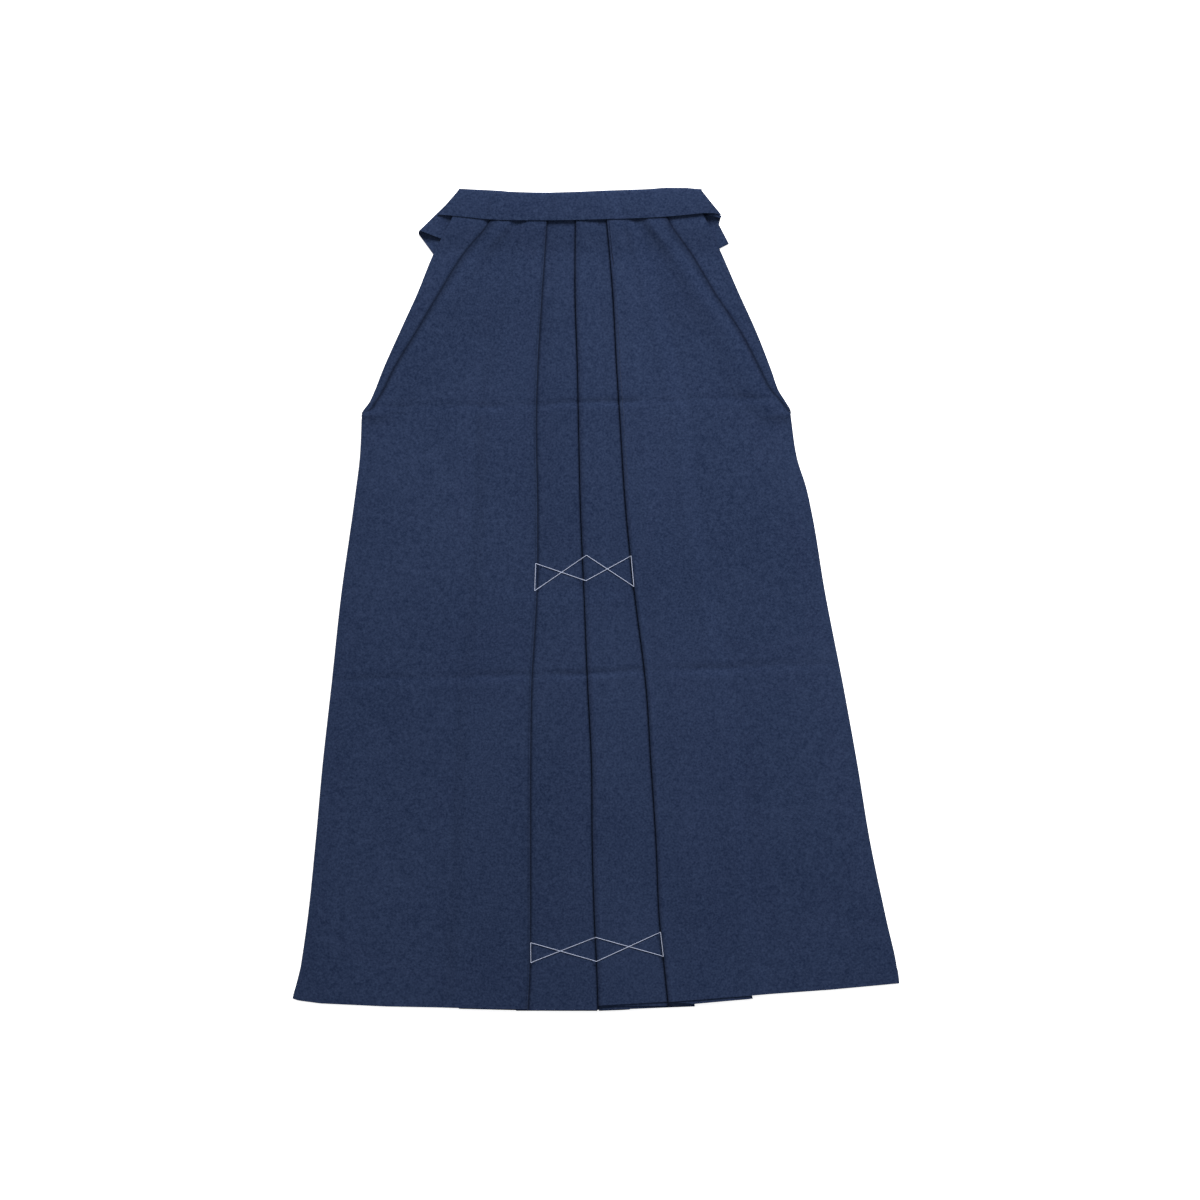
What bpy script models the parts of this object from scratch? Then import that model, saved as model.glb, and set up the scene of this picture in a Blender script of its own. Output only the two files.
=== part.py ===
"""Hakama trousers laid flat, front side up, each cut piece a thin closed solid.

Frame: origin under the middle of the laid garment, +X to the wearer's left,
+Y from the hem to the waist, +Z up from the surface it lies on. Working
lengths are in millimetres and become metres as each mesh is made.
"""
from collections import namedtuple

import bmesh
import bpy

MM = 0.001

# Cloth and how its layers stack.
CLOTH = 1.0                 # wall of one layer
GAP = 0.3                   # air between two layers and across a seam
PITCH = CLOTH + GAP         # height of one layer in the stack
CLEAR = 1.6                 # from a folded edge to where the layer over it steps down
RAMP = 8.0                  # run of one such step

# Heights along the garment, hem to waist.
BAND_FOOT = 436.0           # front panels pass under the waistband above this
BAND_RAMP_FOOT = 424.0      # where the panels start to rise into the band
FRONT_TOP = 464.0           # cut edge of the fronts, inside the band
BACK_TOP = 462.0            # cut edge of the backs, inside their band
OPENING_FOOT = 214.0        # lower end of both side openings
PLEAT_FOOT = 217.0          # lower end of the side pleats
CROTCH = -10.0              # upper end of the gussets
TIE_LIFT_LOW = 309.0        # between these the fronts rise over the folded ties
TIE_LIFT_HIGH = 354.0

BACK_OPEN_FOOT = 205.0      # the backs reach the side edge again below this
CROTCH_FULL = -5.0          # the fronts lie fully over the gussets below this
CROTCH_CLEAR = 10.0         # and clear of them above this

LAP = 20.0                  # each back passes the centre back by this much
SEAM_GAP = 2.0              # between the two gussets
SIDE_SEAM = 0.2             # air between the cut edge of a side pleat and the front's fold
BACK_HEM_SHORT = 4.0        # the backs end this much above the fronts
BAND_FACING_SHORT = 1.0     # the inside of a band ends this much above its outside
BAND_TAPER = 3.0            # the back band is this much narrower along its top, each end
MIN_COLUMN = 1.0            # closest that two columns of a back may lie

NAVY = (0.026, 0.039, 0.088, 1.0)
CLOTH_ROUGHNESS = 0.92

# Edges of the skirt below the side openings.
Skirt = namedtuple("Skirt", "y left right")
SKIRT = (
    Skirt(214.0, -270.3, 224.6),
    Skirt(160.0, -273.0, 233.0),
    Skirt(130.0, -276.8, 242.6),
    Skirt(100.0, -280.8, 249.2),
    Skirt(10.0, -293.6, 264.2),
    Skirt(-100.0, -305.6, 285.6),
    Skirt(-190.0, -315.6, 301.8),
    Skirt(-280.0, -323.8, 316.6),
    Skirt(-370.0, -333.2, 335.4),
    Skirt(-425.0, -341.2, 347.4),
    Skirt(-475.0, -350.4, 350.4),
)

# Folded edge of the fronts, and the edge of the side pleat that shows past it.
Side = namedtuple("Side", "y left_fold left_edge right_fold right_edge")
SIDES = (
    Side(474.0, -110.0, -150.0, 72.0, 108.0),
    Side(436.0, -122.4, -168.2, 84.0, 127.8),
    Side(399.0, -152.5, -187.6, 109.4, 145.2),
    Side(354.0, -180.6, -206.0, 136.4, 164.8),
    Side(309.0, -207.3, -226.6, 166.4, 185.2),
    Side(264.0, -234.4, -246.6, 190.0, 202.8),
    Side(240.0, -246.2, -256.0, 203.0, 211.6),
    Side(228.0, -253.6, -261.6, 212.6, 219.0),
    Side(217.0, -264.6, -268.8, 220.8, 224.8),
    Side(214.0, -270.3, -270.6, 224.6, 224.8),
)

# The three pleat edges that show on the front.
Pleats = namedtuple("Pleats", "y left centre right")
PLEATS = (
    Pleats(474.0, -54.0, -23.2, 8.0),
    Pleats(436.0, -56.8, -23.6, 12.2),
    Pleats(354.0, -62.2, -24.0, 19.4),
    Pleats(264.0, -67.4, -21.2, 24.2),
    Pleats(214.0, -69.0, -20.2, 27.4),
    Pleats(100.0, -67.4, -17.6, 34.8),
    Pleats(10.0, -68.2, -13.8, 44.2),
    Pleats(-100.0, -74.2, -9.4, 57.8),
    Pleats(-190.0, -75.6, -5.0, 63.6),
    Pleats(-280.0, -75.8, -4.2, 69.4),
    Pleats(-370.0, -75.8, -1.6, 73.4),
    Pleats(-425.0, -76.2, 1.0, 79.0),
    Pleats(-475.0, -78.4, 2.4, 83.2),
)

# Depth of each hidden fold behind the pleat edge it belongs to.
Depth = namedtuple("Depth", "y left centre right gusset_left gusset_right side")
DEPTHS = (
    Depth(474.0, 17.0, 5.0, 20.0, 9.0, 27.0, 10.0),
    Depth(436.0, 18.4, 6.0, 21.0, 9.4, 27.4, 20.0),
    Depth(214.0, 50.0, 14.0, 60.0, 11.4, 30.6, 4.0),
    Depth(-475.0, 80.0, 30.8, 97.8, 15.4, 38.1, 4.0),
)

# Line of the centre back.
Centre = namedtuple("Centre", "y back")
CENTRE_BACK = (
    Centre(474.0, -23.0),
    Centre(-475.0, 0.0),
)

# Edges of the backs above the side openings, hidden behind the side pleats.
Back = namedtuple("Back", "y left right")
BACK_SIDES = (
    Back(474.0, -100.0, 58.0),
    Back(436.0, -112.0, 70.0),
    Back(214.0, -266.0, 220.6),
    Back(205.0, -270.4, 226.0),
)

# Hem of each layer, from the wearer's right to the left.
Hem = namedtuple("Hem", "x y")
OUTER_HEM = (
    Hem(-350.4, -460.6),
    Hem(-344.0, -463.0),
    Hem(-318.0, -466.4),
    Hem(-242.6, -469.9),
    Hem(-168.0, -471.3),
    Hem(-78.4, -472.8),
    Hem(2.4, -468.6),
    Hem(83.2, -464.2),
    Hem(181.0, -457.0),
    Hem(270.0, -450.6),
    Hem(350.4, -443.2),
)
MIDDLE_HEM = (
    Hem(-158.4, -472.4),
    Hem(-78.4, -474.2),
    Hem(2.4, -473.6),
    Hem(40.5, -472.6),
    Hem(114.0, -469.8),
)
CENTRE_PLEAT_HEM = (
    Hem(2.4, -469.0),
    Hem(114.0, -468.8),
)
MIDDLE_LEFT_HEM = (
    Hem(2.4, -468.3),
    Hem(83.2, -464.0),
    Hem(114.0, -463.6),
    Hem(181.0, -460.9),
)
RIGHT_PLEAT_HEM = (
    Hem(83.2, -464.0),
    Hem(114.0, -466.6),
    Hem(181.0, -460.9),
)
GUSSET_HEM = (
    Hem(-94.0, -474.8),
    Hem(2.4, -474.8),
    Hem(40.5, -473.4),
)

# Rows of the laid garment, waist to hem. The last row is each layer's own hem.
ROWS = (
    464.0, 436.0, 424.0, 399.0, 354.0, 309.0, 264.0, 240.0, 228.0, 217.0, 205.0,
    160.0, 130.0, 100.0, 10.0, -5.0, -10.0, -100.0, -190.0, -280.0, -370.0, -425.0,
)
HEM_ROW = -475.0

# Lower and upper edge of the front waistband.
Band = namedtuple("Band", "x lower upper")
FRONT_BAND = (
    Band(-182.5, 444.1, 474.1),
    Band(-158.2, 442.2, 474.1),
    Band(-123.6, 438.3, 471.6),
    Band(-75.0, 437.2, 469.5),
    Band(20.0, 438.6, 471.8),
    Band(78.5, 441.2, 474.2),
    Band(98.0, 442.6, 475.2),
    Band(117.0, 444.9, 473.8),
    Band(143.5, 445.3, 471.0),
)
# Where the band's folded ends cross its lower and upper edge.
BAND_LEFT_END = ((-182.5, -158.2), (-168.0, -148.0))
BAND_RIGHT_END = ((124.0, 106.0), (136.0, 118.0), (143.5, 123.5))
BACK_BAND_LOWER = 440.0
BACK_BAND_UPPER = 466.0
BACK_BAND_LEFT = -107.0
BACK_BAND_RIGHT = 66.0

# Stations of the folded ties: the two edges of the strip, each with its height.
Tie = namedtuple("Tie", "upper_x upper_y upper_z lower_x lower_y lower_z")
BACK_TIE_RIGHT = (
    Tie(-128.0, 448.6, 1.8, -145.0, 407.0, 1.8),
    Tie(-160.0, 450.0, 1.8, -183.0, 418.3, 1.8),
    Tie(-171.4, 460.6, 2.6, -203.2, 425.4, 5.2),
    Tie(-172.0, 460.2, 1.5, -205.4, 423.4, 2.8),
    Tie(-171.4, 459.6, 0.5, -205.0, 420.8, 0.5),
    Tie(-135.0, 413.5, 0.5, -169.0, 373.0, 0.5),
)
BACK_TIE_LEFT = (
    Tie(103.6, 430.9, 1.8, 134.8, 446.8, 1.8),
    Tie(121.8, 395.8, 1.8, 153.0, 411.7, 1.8),
    Tie(121.8, 395.8, 0.5, 153.0, 411.7, 0.5),
    Tie(118.6, 402.0, 0.5, 149.8, 417.9, 0.5),
)
FRONT_TIE_LEFT = (
    Tie(112.0, 467.0, 4.1, 131.0, 442.5, 4.1),
    Tie(123.0, 467.0, 4.1, 143.6, 440.6, 4.1),
    Tie(123.0, 467.0, 0.5, 143.6, 440.6, 0.5),
    Tie(115.4, 429.0, 0.5, 140.6, 425.4, 0.5),
)
FRONT_TIE_RIGHT = (
    Tie(-136.0, 468.0, 4.6, -150.0, 447.0, 4.6),
    Tie(-160.6, 468.0, 4.6, -179.0, 447.0, 4.6),
)


def read(table, column, at):
    """Value of one column of a table at a place given by its first column."""
    rows = sorted(table, key=lambda row: row[0])
    low, high = rows[0], rows[1]
    for below, above in zip(rows, rows[1:]):
        if at >= below[0]:
            low, high = below, above
    share = (at - low[0]) / (high[0] - low[0])
    return getattr(low, column) + share * (getattr(high, column) - getattr(low, column))


def step(value, start, end):
    """0 before start, 1 after end, even in between; end may lie before start."""
    return min(1.0, max(0.0, (value - start) / (end - start)))


def lattice(y):
    """Every line that the layers share at one height, by name, left to right."""
    above = y > OPENING_FOOT
    left = read(SIDES, "left_fold", y) if above else read(SKIRT, "left", y)
    right = read(SIDES, "right_fold", y) if above else read(SKIRT, "right", y)
    side = read(DEPTHS, "side", y)
    pleat_left = read(PLEATS, "left", y)
    pleat_centre = read(PLEATS, "centre", y)
    pleat_right = read(PLEATS, "right", y)
    centre_back = read(CENTRE_BACK, "back", y)
    hidden_left = pleat_left - read(DEPTHS, "left", y)
    hidden_centre = pleat_right + read(DEPTHS, "centre", y)
    hidden_right = pleat_right + read(DEPTHS, "right", y)
    centre_ramp = min(RAMP, 0.4 * (hidden_right - hidden_centre - CLEAR))
    side_ramp = min(RAMP, side + CLEAR)
    lines = {
        "left": left,
        "side_left": left + side,
        "side_left_clear": left + side + CLEAR,
        "side_left_ramp": left + side + CLEAR + side_ramp,
        "hidden_left_ramp": hidden_left - CLEAR - RAMP,
        "hidden_left_clear": hidden_left - CLEAR,
        "hidden_left": hidden_left,
        "gusset_left": pleat_left - read(DEPTHS, "gusset_left", y),
        "pleat_left": pleat_left,
        "lap_left": centre_back - LAP - CLEAR,
        "pleat_centre": pleat_centre,
        "lap_right": centre_back + LAP + CLEAR,
        "gusset_right": pleat_centre + read(DEPTHS, "gusset_right", y),
        "pleat_right": pleat_right,
        "hidden_centre": hidden_centre,
        "hidden_centre_clear": hidden_centre + CLEAR,
        "hidden_centre_ramp": hidden_centre + CLEAR + centre_ramp,
        "hidden_right": hidden_right,
        "hidden_right_clear": hidden_right + CLEAR,
        "hidden_right_ramp": hidden_right + CLEAR + RAMP,
        "side_right_ramp": right - side - CLEAR - side_ramp,
        "side_right_clear": right - side - CLEAR,
        "side_right": right - side,
        "right": right,
    }
    # Two plain columns carry each wide outer panel.
    span = lines["hidden_left_ramp"] - lines["side_left_ramp"]
    lines["panel_left_outer"] = lines["side_left_ramp"] + span / 3.0
    lines["panel_left_inner"] = lines["side_left_ramp"] + span * 2.0 / 3.0
    span = lines["side_right_ramp"] - lines["hidden_right_ramp"]
    lines["panel_right_inner"] = lines["hidden_right_ramp"] + span / 3.0
    lines["panel_right_outer"] = lines["hidden_right_ramp"] + span * 2.0 / 3.0
    return lines


def names_between(first, last):
    """Names of the shared lines from one to another, both included."""
    order = sorted(lattice(0.0), key=lattice(0.0).get)
    return order[order.index(first):order.index(last) + 1]


def band_rise(y):
    return step(y, BAND_RAMP_FOOT, BAND_FOOT)


def lap_cover(x, lines):
    left = step(x, lines["pleat_left"], lines["lap_left"])
    right = step(x, lines["gusset_right"], lines["lap_right"])
    return min(left, right)


def gusset_cover(x, y, lines):
    left = step(x, lines["hidden_left"], lines["gusset_left"])
    right = step(x, lines["pleat_right"], lines["gusset_right"])
    return min(left, right, step(y, CROTCH_CLEAR, CROTCH_FULL))


def side_cover(x, y, lines):
    left = step(x, lines["side_left_ramp"], lines["side_left_clear"])
    right = step(x, lines["side_right_ramp"], lines["side_right_clear"])
    return max(left, right) * step(y, BACK_OPEN_FOOT, PLEAT_FOOT)


def back_right_level(_x, y, _lines):
    """Layers under the wearer's right back, which rests on the surface below the band."""
    return band_rise(y)


def back_left_level(x, y, lines):
    return band_rise(y) + step(x, lines["gusset_right"], lines["lap_right"])


def base_level(x, y, lines):
    """Layers under the lowest layer of the fronts."""
    lift = step(y, TIE_LIFT_LOW, TIE_LIFT_HIGH)
    return 1.0 + lap_cover(x, lines) + gusset_cover(x, y, lines) + lift + 3.0 * band_rise(y)


def gusset_level(x, y, lines):
    return 1.0 + lap_cover(x, lines)


def right_pleat_level(x, y, lines):
    return base_level(x, y, lines) + 1.0


def right_outer_level(x, y, lines):
    over_pleat = step(x, lines["hidden_left_ramp"], lines["hidden_left_clear"])
    return base_level(x, y, lines) + 2.0 * over_pleat + 2.0 * side_cover(x, y, lines)


def left_middle_level(x, y, lines):
    over_pleat = step(x, lines["hidden_centre_ramp"], lines["hidden_centre_clear"])
    return base_level(x, y, lines) + 2.0 * over_pleat


def left_pleat_level(x, y, lines):
    return left_middle_level(x, y, lines) + 1.0


def left_outer_level(x, y, lines):
    over_pleat = step(x, lines["hidden_right_ramp"], lines["hidden_right_clear"])
    lift = 2.0 * over_pleat + 2.0 * side_cover(x, y, lines)
    return left_middle_level(x, y, lines) + lift


def hem_height(hem, x):
    ends = sorted(hem)
    return read(hem, "y", min(max(x, ends[0].x), ends[-1].x))


# One layer of a folded sheet: where it runs, its height and its hem.
Ply = namedtuple("Ply", "first last level hem fold_first fold_last")


def ply_row(ply, y, is_hem):
    """Points of one layer along one row, from its first line to its last."""
    lines = lattice(y)
    names = names_between(*sorted((ply.first, ply.last), key=lines.get))
    if lines[ply.first] > lines[ply.last]:
        names.reverse()
    points = []
    for name in names:
        x = lines[name]
        z = CLOTH / 2.0 + PITCH * ply.level(x, y, lines)
        if name == ply.first:
            x += ply.fold_first
        if name == ply.last:
            x += ply.fold_last
        height = hem_height(ply.hem, x) if is_hem else y
        points.append((x, height, z))
    return points


def sheet_object(name, rows):
    """A closed wall of cloth through rows of points on its middle surface."""
    mesh = bpy.data.meshes.new(name)
    shape = bmesh.new()
    grid = [[shape.verts.new([MM * value for value in point]) for point in row] for row in rows]
    for upper, lower in zip(grid, grid[1:]):
        for column in range(len(upper) - 1):
            corners = (upper[column], lower[column], lower[column + 1], upper[column + 1])
            shape.faces.new(corners)
    shape.to_mesh(mesh)
    shape.free()
    piece = bpy.data.objects.new(name, mesh)
    bpy.context.scene.collection.objects.link(piece)
    wall = piece.modifiers.new("cloth", "SOLIDIFY")
    wall.thickness = MM * CLOTH
    wall.offset = 0.0
    wall.use_even_offset = True
    wall.use_quality_normals = True
    piece.data.materials.append(cloth_material(name))
    return piece


def cloth_material(name):
    material = bpy.data.materials.new(name + "_cloth")
    material.use_nodes = True
    shader = material.node_tree.nodes["Principled BSDF"]
    shader.inputs["Base Color"].default_value = NAVY
    shader.inputs["Roughness"].default_value = CLOTH_ROUGHNESS
    shader.inputs["Metallic"].default_value = 0.0
    return material


def folded_sheet(name, plies, top, foot=None):
    """A sheet folded back and forth, its layers joined at their folded edges."""
    heights = [top] + [y for y in ROWS if y < top and (foot is None or y > foot)]
    heights.append(HEM_ROW if foot is None else foot)
    rows = []
    for y in heights:
        is_hem = foot is None and y == HEM_ROW
        rows.append([point for ply in plies for point in ply_row(ply, y, is_hem)])
    return sheet_object(name, rows)


def make_fronts():
    inset = CLOTH / 2.0
    folded_sheet("front_right", (
        Ply("left", "pleat_left", right_outer_level, OUTER_HEM, 0.0, -inset),
        Ply("pleat_left", "hidden_left", right_pleat_level, MIDDLE_HEM, -inset, inset),
        Ply("hidden_left", "hidden_centre", base_level, MIDDLE_HEM, inset, 0.0),
    ), FRONT_TOP)
    folded_sheet("front_left", (
        Ply("hidden_centre", "pleat_centre", right_pleat_level, CENTRE_PLEAT_HEM, 0.0, inset),
        Ply("pleat_centre", "hidden_right", left_middle_level, MIDDLE_LEFT_HEM, inset, -inset),
        Ply("hidden_right", "pleat_right", left_pleat_level, RIGHT_PLEAT_HEM, -inset, inset),
        Ply("pleat_right", "right", left_outer_level, OUTER_HEM, inset, 0.0),
    ), FRONT_TOP)


def side_pleat(name, fold, edge, inner, facing):
    """The side pleat: it runs in behind the front's folded edge and back out past it."""
    rows = []
    for y in [height for height in ROWS if height >= PLEAT_FOOT]:
        lines = lattice(y)
        base = base_level(lines[fold], y, lines)
        low = CLOTH / 2.0 + PITCH * base
        high = low + PITCH
        outer = read(SIDES, edge, y)
        turn = lines[inner] - facing * CLOTH / 2.0
        seam = lines[fold] + facing * SIDE_SEAM
        rows.append([(seam, y, high), (turn, y, high), (turn, y, low), (seam, y, low),
                     (outer, y, low)])
    sheet_object(name, rows)


def back_edge(column, y):
    """Side edge of a back: behind the side pleat above the opening's foot."""
    table = BACK_SIDES if y > BACK_OPEN_FOOT else SKIRT
    return read(table, column, y)


def back_panel(name, outer, level, facing):
    """One back: from its side edge to just past the centre back."""
    heights = [BACK_TOP] + [y for y in ROWS if y < BACK_TOP] + [HEM_ROW]
    rows = []
    for y in heights:
        lines = lattice(y)
        edge = back_edge(outer, y)
        inner = read(CENTRE_BACK, "back", y) + facing * LAP
        near = [lines[name] for name in names_between("hidden_left", "gusset_right")]
        near = [x for x in near if facing * (inner - x) > MIN_COLUMN]
        near = [x for x in near if facing * (x - edge) > MIN_COLUMN]
        near.sort(reverse=facing < 0)
        middle = 0.5 * (edge + near[0])
        row = []
        for x in [edge, middle] + near + [inner]:
            z = CLOTH / 2.0 + PITCH * level(x, y, lines)
            height = hem_height(OUTER_HEM, x) + BACK_HEM_SHORT if y == HEM_ROW else y
            row.append((x, height, z))
        rows.append(row)
    sheet_object(name, rows)


def make_backs():
    back_panel("back_right", "left", back_right_level, 1.0)
    back_panel("back_left", "right", back_left_level, -1.0)


def gusset(name, first, last, shift_first, shift_last):
    ply = Ply(first, last, gusset_level, GUSSET_HEM, shift_first, shift_last)
    folded_sheet(name, (ply,), CROTCH)


def make_gussets():
    gusset("gusset_right", "gusset_left", "pleat_centre", CLEAR, -SEAM_GAP / 2.0)
    gusset("gusset_left", "pleat_centre", "gusset_right", SEAM_GAP / 2.0, -CLEAR)


def band_section(x_lower, x_upper, lower, upper, inner_z, outer_z):
    """The strip folded over a cut edge: up the outside, over, down the inside."""
    crest = upper - CLOTH / 2.0
    return [(x_lower, lower, outer_z), (x_upper, crest, outer_z),
            (x_upper, crest, inner_z), (x_lower, lower + BAND_FACING_SHORT, inner_z)]


def front_band_columns():
    """Shared lines under the band, a shift, and the layers that it passes over there."""
    near_side = ("left", "side_left", "side_left_clear", "side_left_ramp", "hidden_left",
                 "pleat_left", "lap_left", "pleat_centre", "lap_right", "gusset_right")
    raised = ("hidden_centre", "hidden_centre_clear")
    far_side = ("hidden_centre_ramp", "hidden_right", "side_right_ramp",
                "side_right_clear", "side_right", "right")
    columns = [("left", -CLEAR - RAMP, 1.0), ("left", -CLEAR, 3.0)]
    columns += [(name, 0.0, 3.0) for name in near_side]
    columns += [("pleat_right", -CLEAR, 5.0)]
    columns += [(name, 0.0, 5.0) for name in raised]
    columns += [(name, 0.0, 3.0) for name in far_side]
    columns += [("right", CLEAR, 3.0), ("right", CLEAR + RAMP, 1.0)]
    return columns


def make_front_band():
    rows = []

    def add(x_lower, x_upper, lower, upper, over):
        base = base_level(x_lower, BAND_FOOT, lattice(lower))
        inner_z = CLOTH / 2.0 + PITCH * (base - 1.0)
        outer_z = CLOTH / 2.0 + PITCH * (base + over)
        rows.append(band_section(x_lower, x_upper, lower, upper, inner_z, outer_z))

    def add_end(ends):
        for x_lower, x_upper in ends:
            lower = read(FRONT_BAND, "lower", x_lower)
            upper = read(FRONT_BAND, "upper", x_upper)
            add(x_lower, x_upper, lower, upper, 1.0)

    add_end(BAND_LEFT_END)
    for name, shift, over in front_band_columns():
        near = lattice(BAND_FOOT)[name] + shift
        lower = read(FRONT_BAND, "lower", near)
        upper = read(FRONT_BAND, "upper", near)
        add(lattice(lower)[name] + shift, lattice(upper)[name] + shift, lower, upper, over)
    add_end(BAND_RIGHT_END)
    sheet_object("waistband_front", rows)


def make_back_band():
    rows = []
    low, high = lattice(BACK_BAND_LOWER), lattice(BACK_BAND_UPPER)
    names = ["hidden_left", "pleat_left", "lap_left", "lap_right", "gusset_right",
             "hidden_centre"]
    columns = [(BACK_BAND_LEFT, BACK_BAND_LEFT + BAND_TAPER)]
    columns += [(low[name], high[name]) for name in names]
    columns += [(BACK_BAND_RIGHT, BACK_BAND_RIGHT - BAND_TAPER)]
    for x_lower, x_upper in columns:
        inside = 2.0 + lap_cover(x_lower, low)
        outer_z = CLOTH / 2.0
        inner_z = CLOTH / 2.0 + PITCH * inside
        rows.append(band_section(x_lower, x_upper, BACK_BAND_LOWER, BACK_BAND_UPPER,
                                 inner_z, outer_z))
    sheet_object("waistband_back", rows)


def tie(name, stations):
    """A strip whose folded layers follow one another from station to station."""
    sheet_object(name, [[station[:3], station[3:]] for station in stations])


def make_ties():
    tie("back_tie_right", BACK_TIE_RIGHT)
    tie("back_tie_left", BACK_TIE_LEFT)
    tie("front_tie_left", FRONT_TIE_LEFT)
    tie("front_tie_right", FRONT_TIE_RIGHT)


def main():
    for old in list(bpy.data.objects):
        bpy.data.objects.remove(old, do_unlink=True)
    make_backs()
    make_gussets()
    make_fronts()
    side_pleat("side_pleat_right", "left", "left_edge", "side_left", 1.0)
    side_pleat("side_pleat_left", "right", "right_edge", "side_right", -1.0)
    make_back_band()
    make_front_band()
    make_ties()


main()
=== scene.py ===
"""Cloth, folds, bands, ties and basting of a hakama laid flat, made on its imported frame.

Pattern sizes are in millimetres on the frame's own axes: +X to the wearer's left, +Y from
the hem to the waist, +Z up from the surface. Each mesh is turned into metres as it is made.
"""

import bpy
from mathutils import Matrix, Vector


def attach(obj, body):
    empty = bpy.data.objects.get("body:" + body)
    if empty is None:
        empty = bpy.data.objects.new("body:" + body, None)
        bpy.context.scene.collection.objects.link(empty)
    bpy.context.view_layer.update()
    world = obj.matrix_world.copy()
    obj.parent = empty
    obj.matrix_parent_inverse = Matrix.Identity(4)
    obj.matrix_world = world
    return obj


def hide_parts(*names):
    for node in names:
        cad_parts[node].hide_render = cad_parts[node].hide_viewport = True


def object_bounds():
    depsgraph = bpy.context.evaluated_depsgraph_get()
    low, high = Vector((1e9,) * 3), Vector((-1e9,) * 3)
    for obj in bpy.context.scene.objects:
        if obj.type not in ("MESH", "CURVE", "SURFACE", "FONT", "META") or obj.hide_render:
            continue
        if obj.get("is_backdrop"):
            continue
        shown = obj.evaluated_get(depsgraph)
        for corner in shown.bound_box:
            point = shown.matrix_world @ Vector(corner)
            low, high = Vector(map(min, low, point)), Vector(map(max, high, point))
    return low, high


bl_info = {
    "name": "Hakama laid flat",
    "version": (1, 0, 0),
    "blender": (4, 5, 0),
    "location": "3D View > Sidebar > Hakama",
    "description": "Makes the folded cloth, bands, ties and basting of a hakama laid flat",
    "category": "Add Mesh",
}

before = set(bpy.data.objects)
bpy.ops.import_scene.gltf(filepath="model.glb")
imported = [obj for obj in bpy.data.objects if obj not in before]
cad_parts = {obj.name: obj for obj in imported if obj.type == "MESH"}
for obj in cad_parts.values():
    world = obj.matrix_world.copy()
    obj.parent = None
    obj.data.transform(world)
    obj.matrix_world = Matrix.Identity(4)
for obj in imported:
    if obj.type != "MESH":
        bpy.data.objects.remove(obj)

import math
from collections import namedtuple

import bmesh
import bpy
import numpy as np
from bpy.props import FloatProperty, FloatVectorProperty, IntProperty, PointerProperty

MM = 0.001
CAD_LOW, CAD_HIGH = ([float(value) for value in corner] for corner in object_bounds())

# The frame gives the garment's outline box, which the pattern tables are set out in.
PATTERN_WIDTH = 700.8
PATTERN_LENGTH = 949.8
SPREAD_X = (CAD_HIGH[0] - CAD_LOW[0]) / (MM * PATTERN_WIDTH)
SPREAD_Y = (CAD_HIGH[1] - CAD_LOW[1]) / (MM * PATTERN_LENGTH)

# Heights along the garment, hem to waist.
FRONT_TOP = 464.0
BACK_TOP = 462.0
BAND_FOOT = 436.0
BAND_RAMP_FOOT = 394.0
OPENING_FOOT = 214.0
PLEAT_FOOT = 214.4
CROTCH = -10.0
TIE_LIFT_LOW = 300.0
TIE_LIFT_HIGH = 360.0
HEM_EASE = -425.0           # below this the rows run out to each layer's own hem
HEM_ROW = -475.0
ROW_STEP = 5.0
CREASE_ROW_STEP = 1.4
CREASE_ROWS_REACH = 12.0
LEAST_ROW_GAP = 1.2
BACK_SIDE_FOOT = 205.0      # below this the backs' sides are the skirt's own
BACK_INSET_TOP = 190.0
BACK_INSET_FOOT = 170.0
SIDE_RAMP_FOOT = 203.0      # a front is down past the end of its side pleat here
GUSSET_RAMP_TOP = 14.0
GUSSET_RAMP_FOOT = -5.0

# Runs and insets across the garment.
LAP = 20.0                  # each back runs this far past the centre
CLEAR = 1.6                 # kept clear beside a fold or an edge
RAMP = 8.0                  # run over which the front band climbs onto the fronts
RIM = 1.7                   # from a folded edge in to where its layer lies flat
BESIDE = 1.2                # crevice beside a folded edge
BEYOND = 3.0                # and where the layer under it lies flat again
SIDE_SEAM = 2.4             # from a front's folded edge in to its side pleat's seam
SIDE_TURN = 2.0             # least run from that seam in to the hidden fold
BESIDE_SHARE = 0.25         # most of a side pleat's shown width that its crevice takes
BEYOND_SHARE = 0.5
SIDE_RUN = 46.0             # run over which a front settles past its side pleat
FOLD_RUN = 20.0             # and past each hidden fold
ROOM_SHARE = 0.43           # most of the room between two folds that one run may take
CENTRE_SHARE = 0.86         # and of the room between the two at the centre
BACK_INSET = 0.6            # the backs' sides lie this far inside the fronts'
GUSSET_INSET = 1.0
FOLD_CELL = 0.3             # least cell beside a folded edge
TURN_REACH = 1.6            # how far the edge of a folded strip stands out at most
STRIP_SPACING = 3.0

# Spring and roll of the folded edges, and the lines of painted shade along them.
PUFF_FADE = 26.0            # run up to the band over which a fold's spring dies away
ROLL_BELOW = 0.25           # drop of a front's edge below its side pleat
ROLL_ABOVE = 0.85           # and the further drop over it
ROLL_FADE = 6.0             # run above the pleat's end over which that drop comes in
SHADE_FADE = 4.0            # and the one over which the painted shade line does
# Reach of the painted shade beside each pleat edge that shows, and beside the fronts' outer edges.
SHADE_REACH = {"pleat_left": 1.9, "pleat_centre": 1.45, "pleat_right": 1.45}
SIDE_SHADE_REACH = 2.4
CREST_SHADE = 0.2           # painted shade on the crest of a folded edge

# Cells across what has no shared lines.
BACK_CELLS = (70,)
LAPPED_BACK_CELLS = (62, 5, 8)
SIDE_OVER_CELLS = (6,)
SIDE_UNDER_CELLS = (7, 1, 1, 1, 12)
BAND_OUTER_CELLS = 9
BAND_INNER_CELLS = 5
BAND_TURN_CELLS = 8
TIE_CELLS = 8
TIE_TURN_CELLS = 9
THREAD_CELLS = 14

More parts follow.
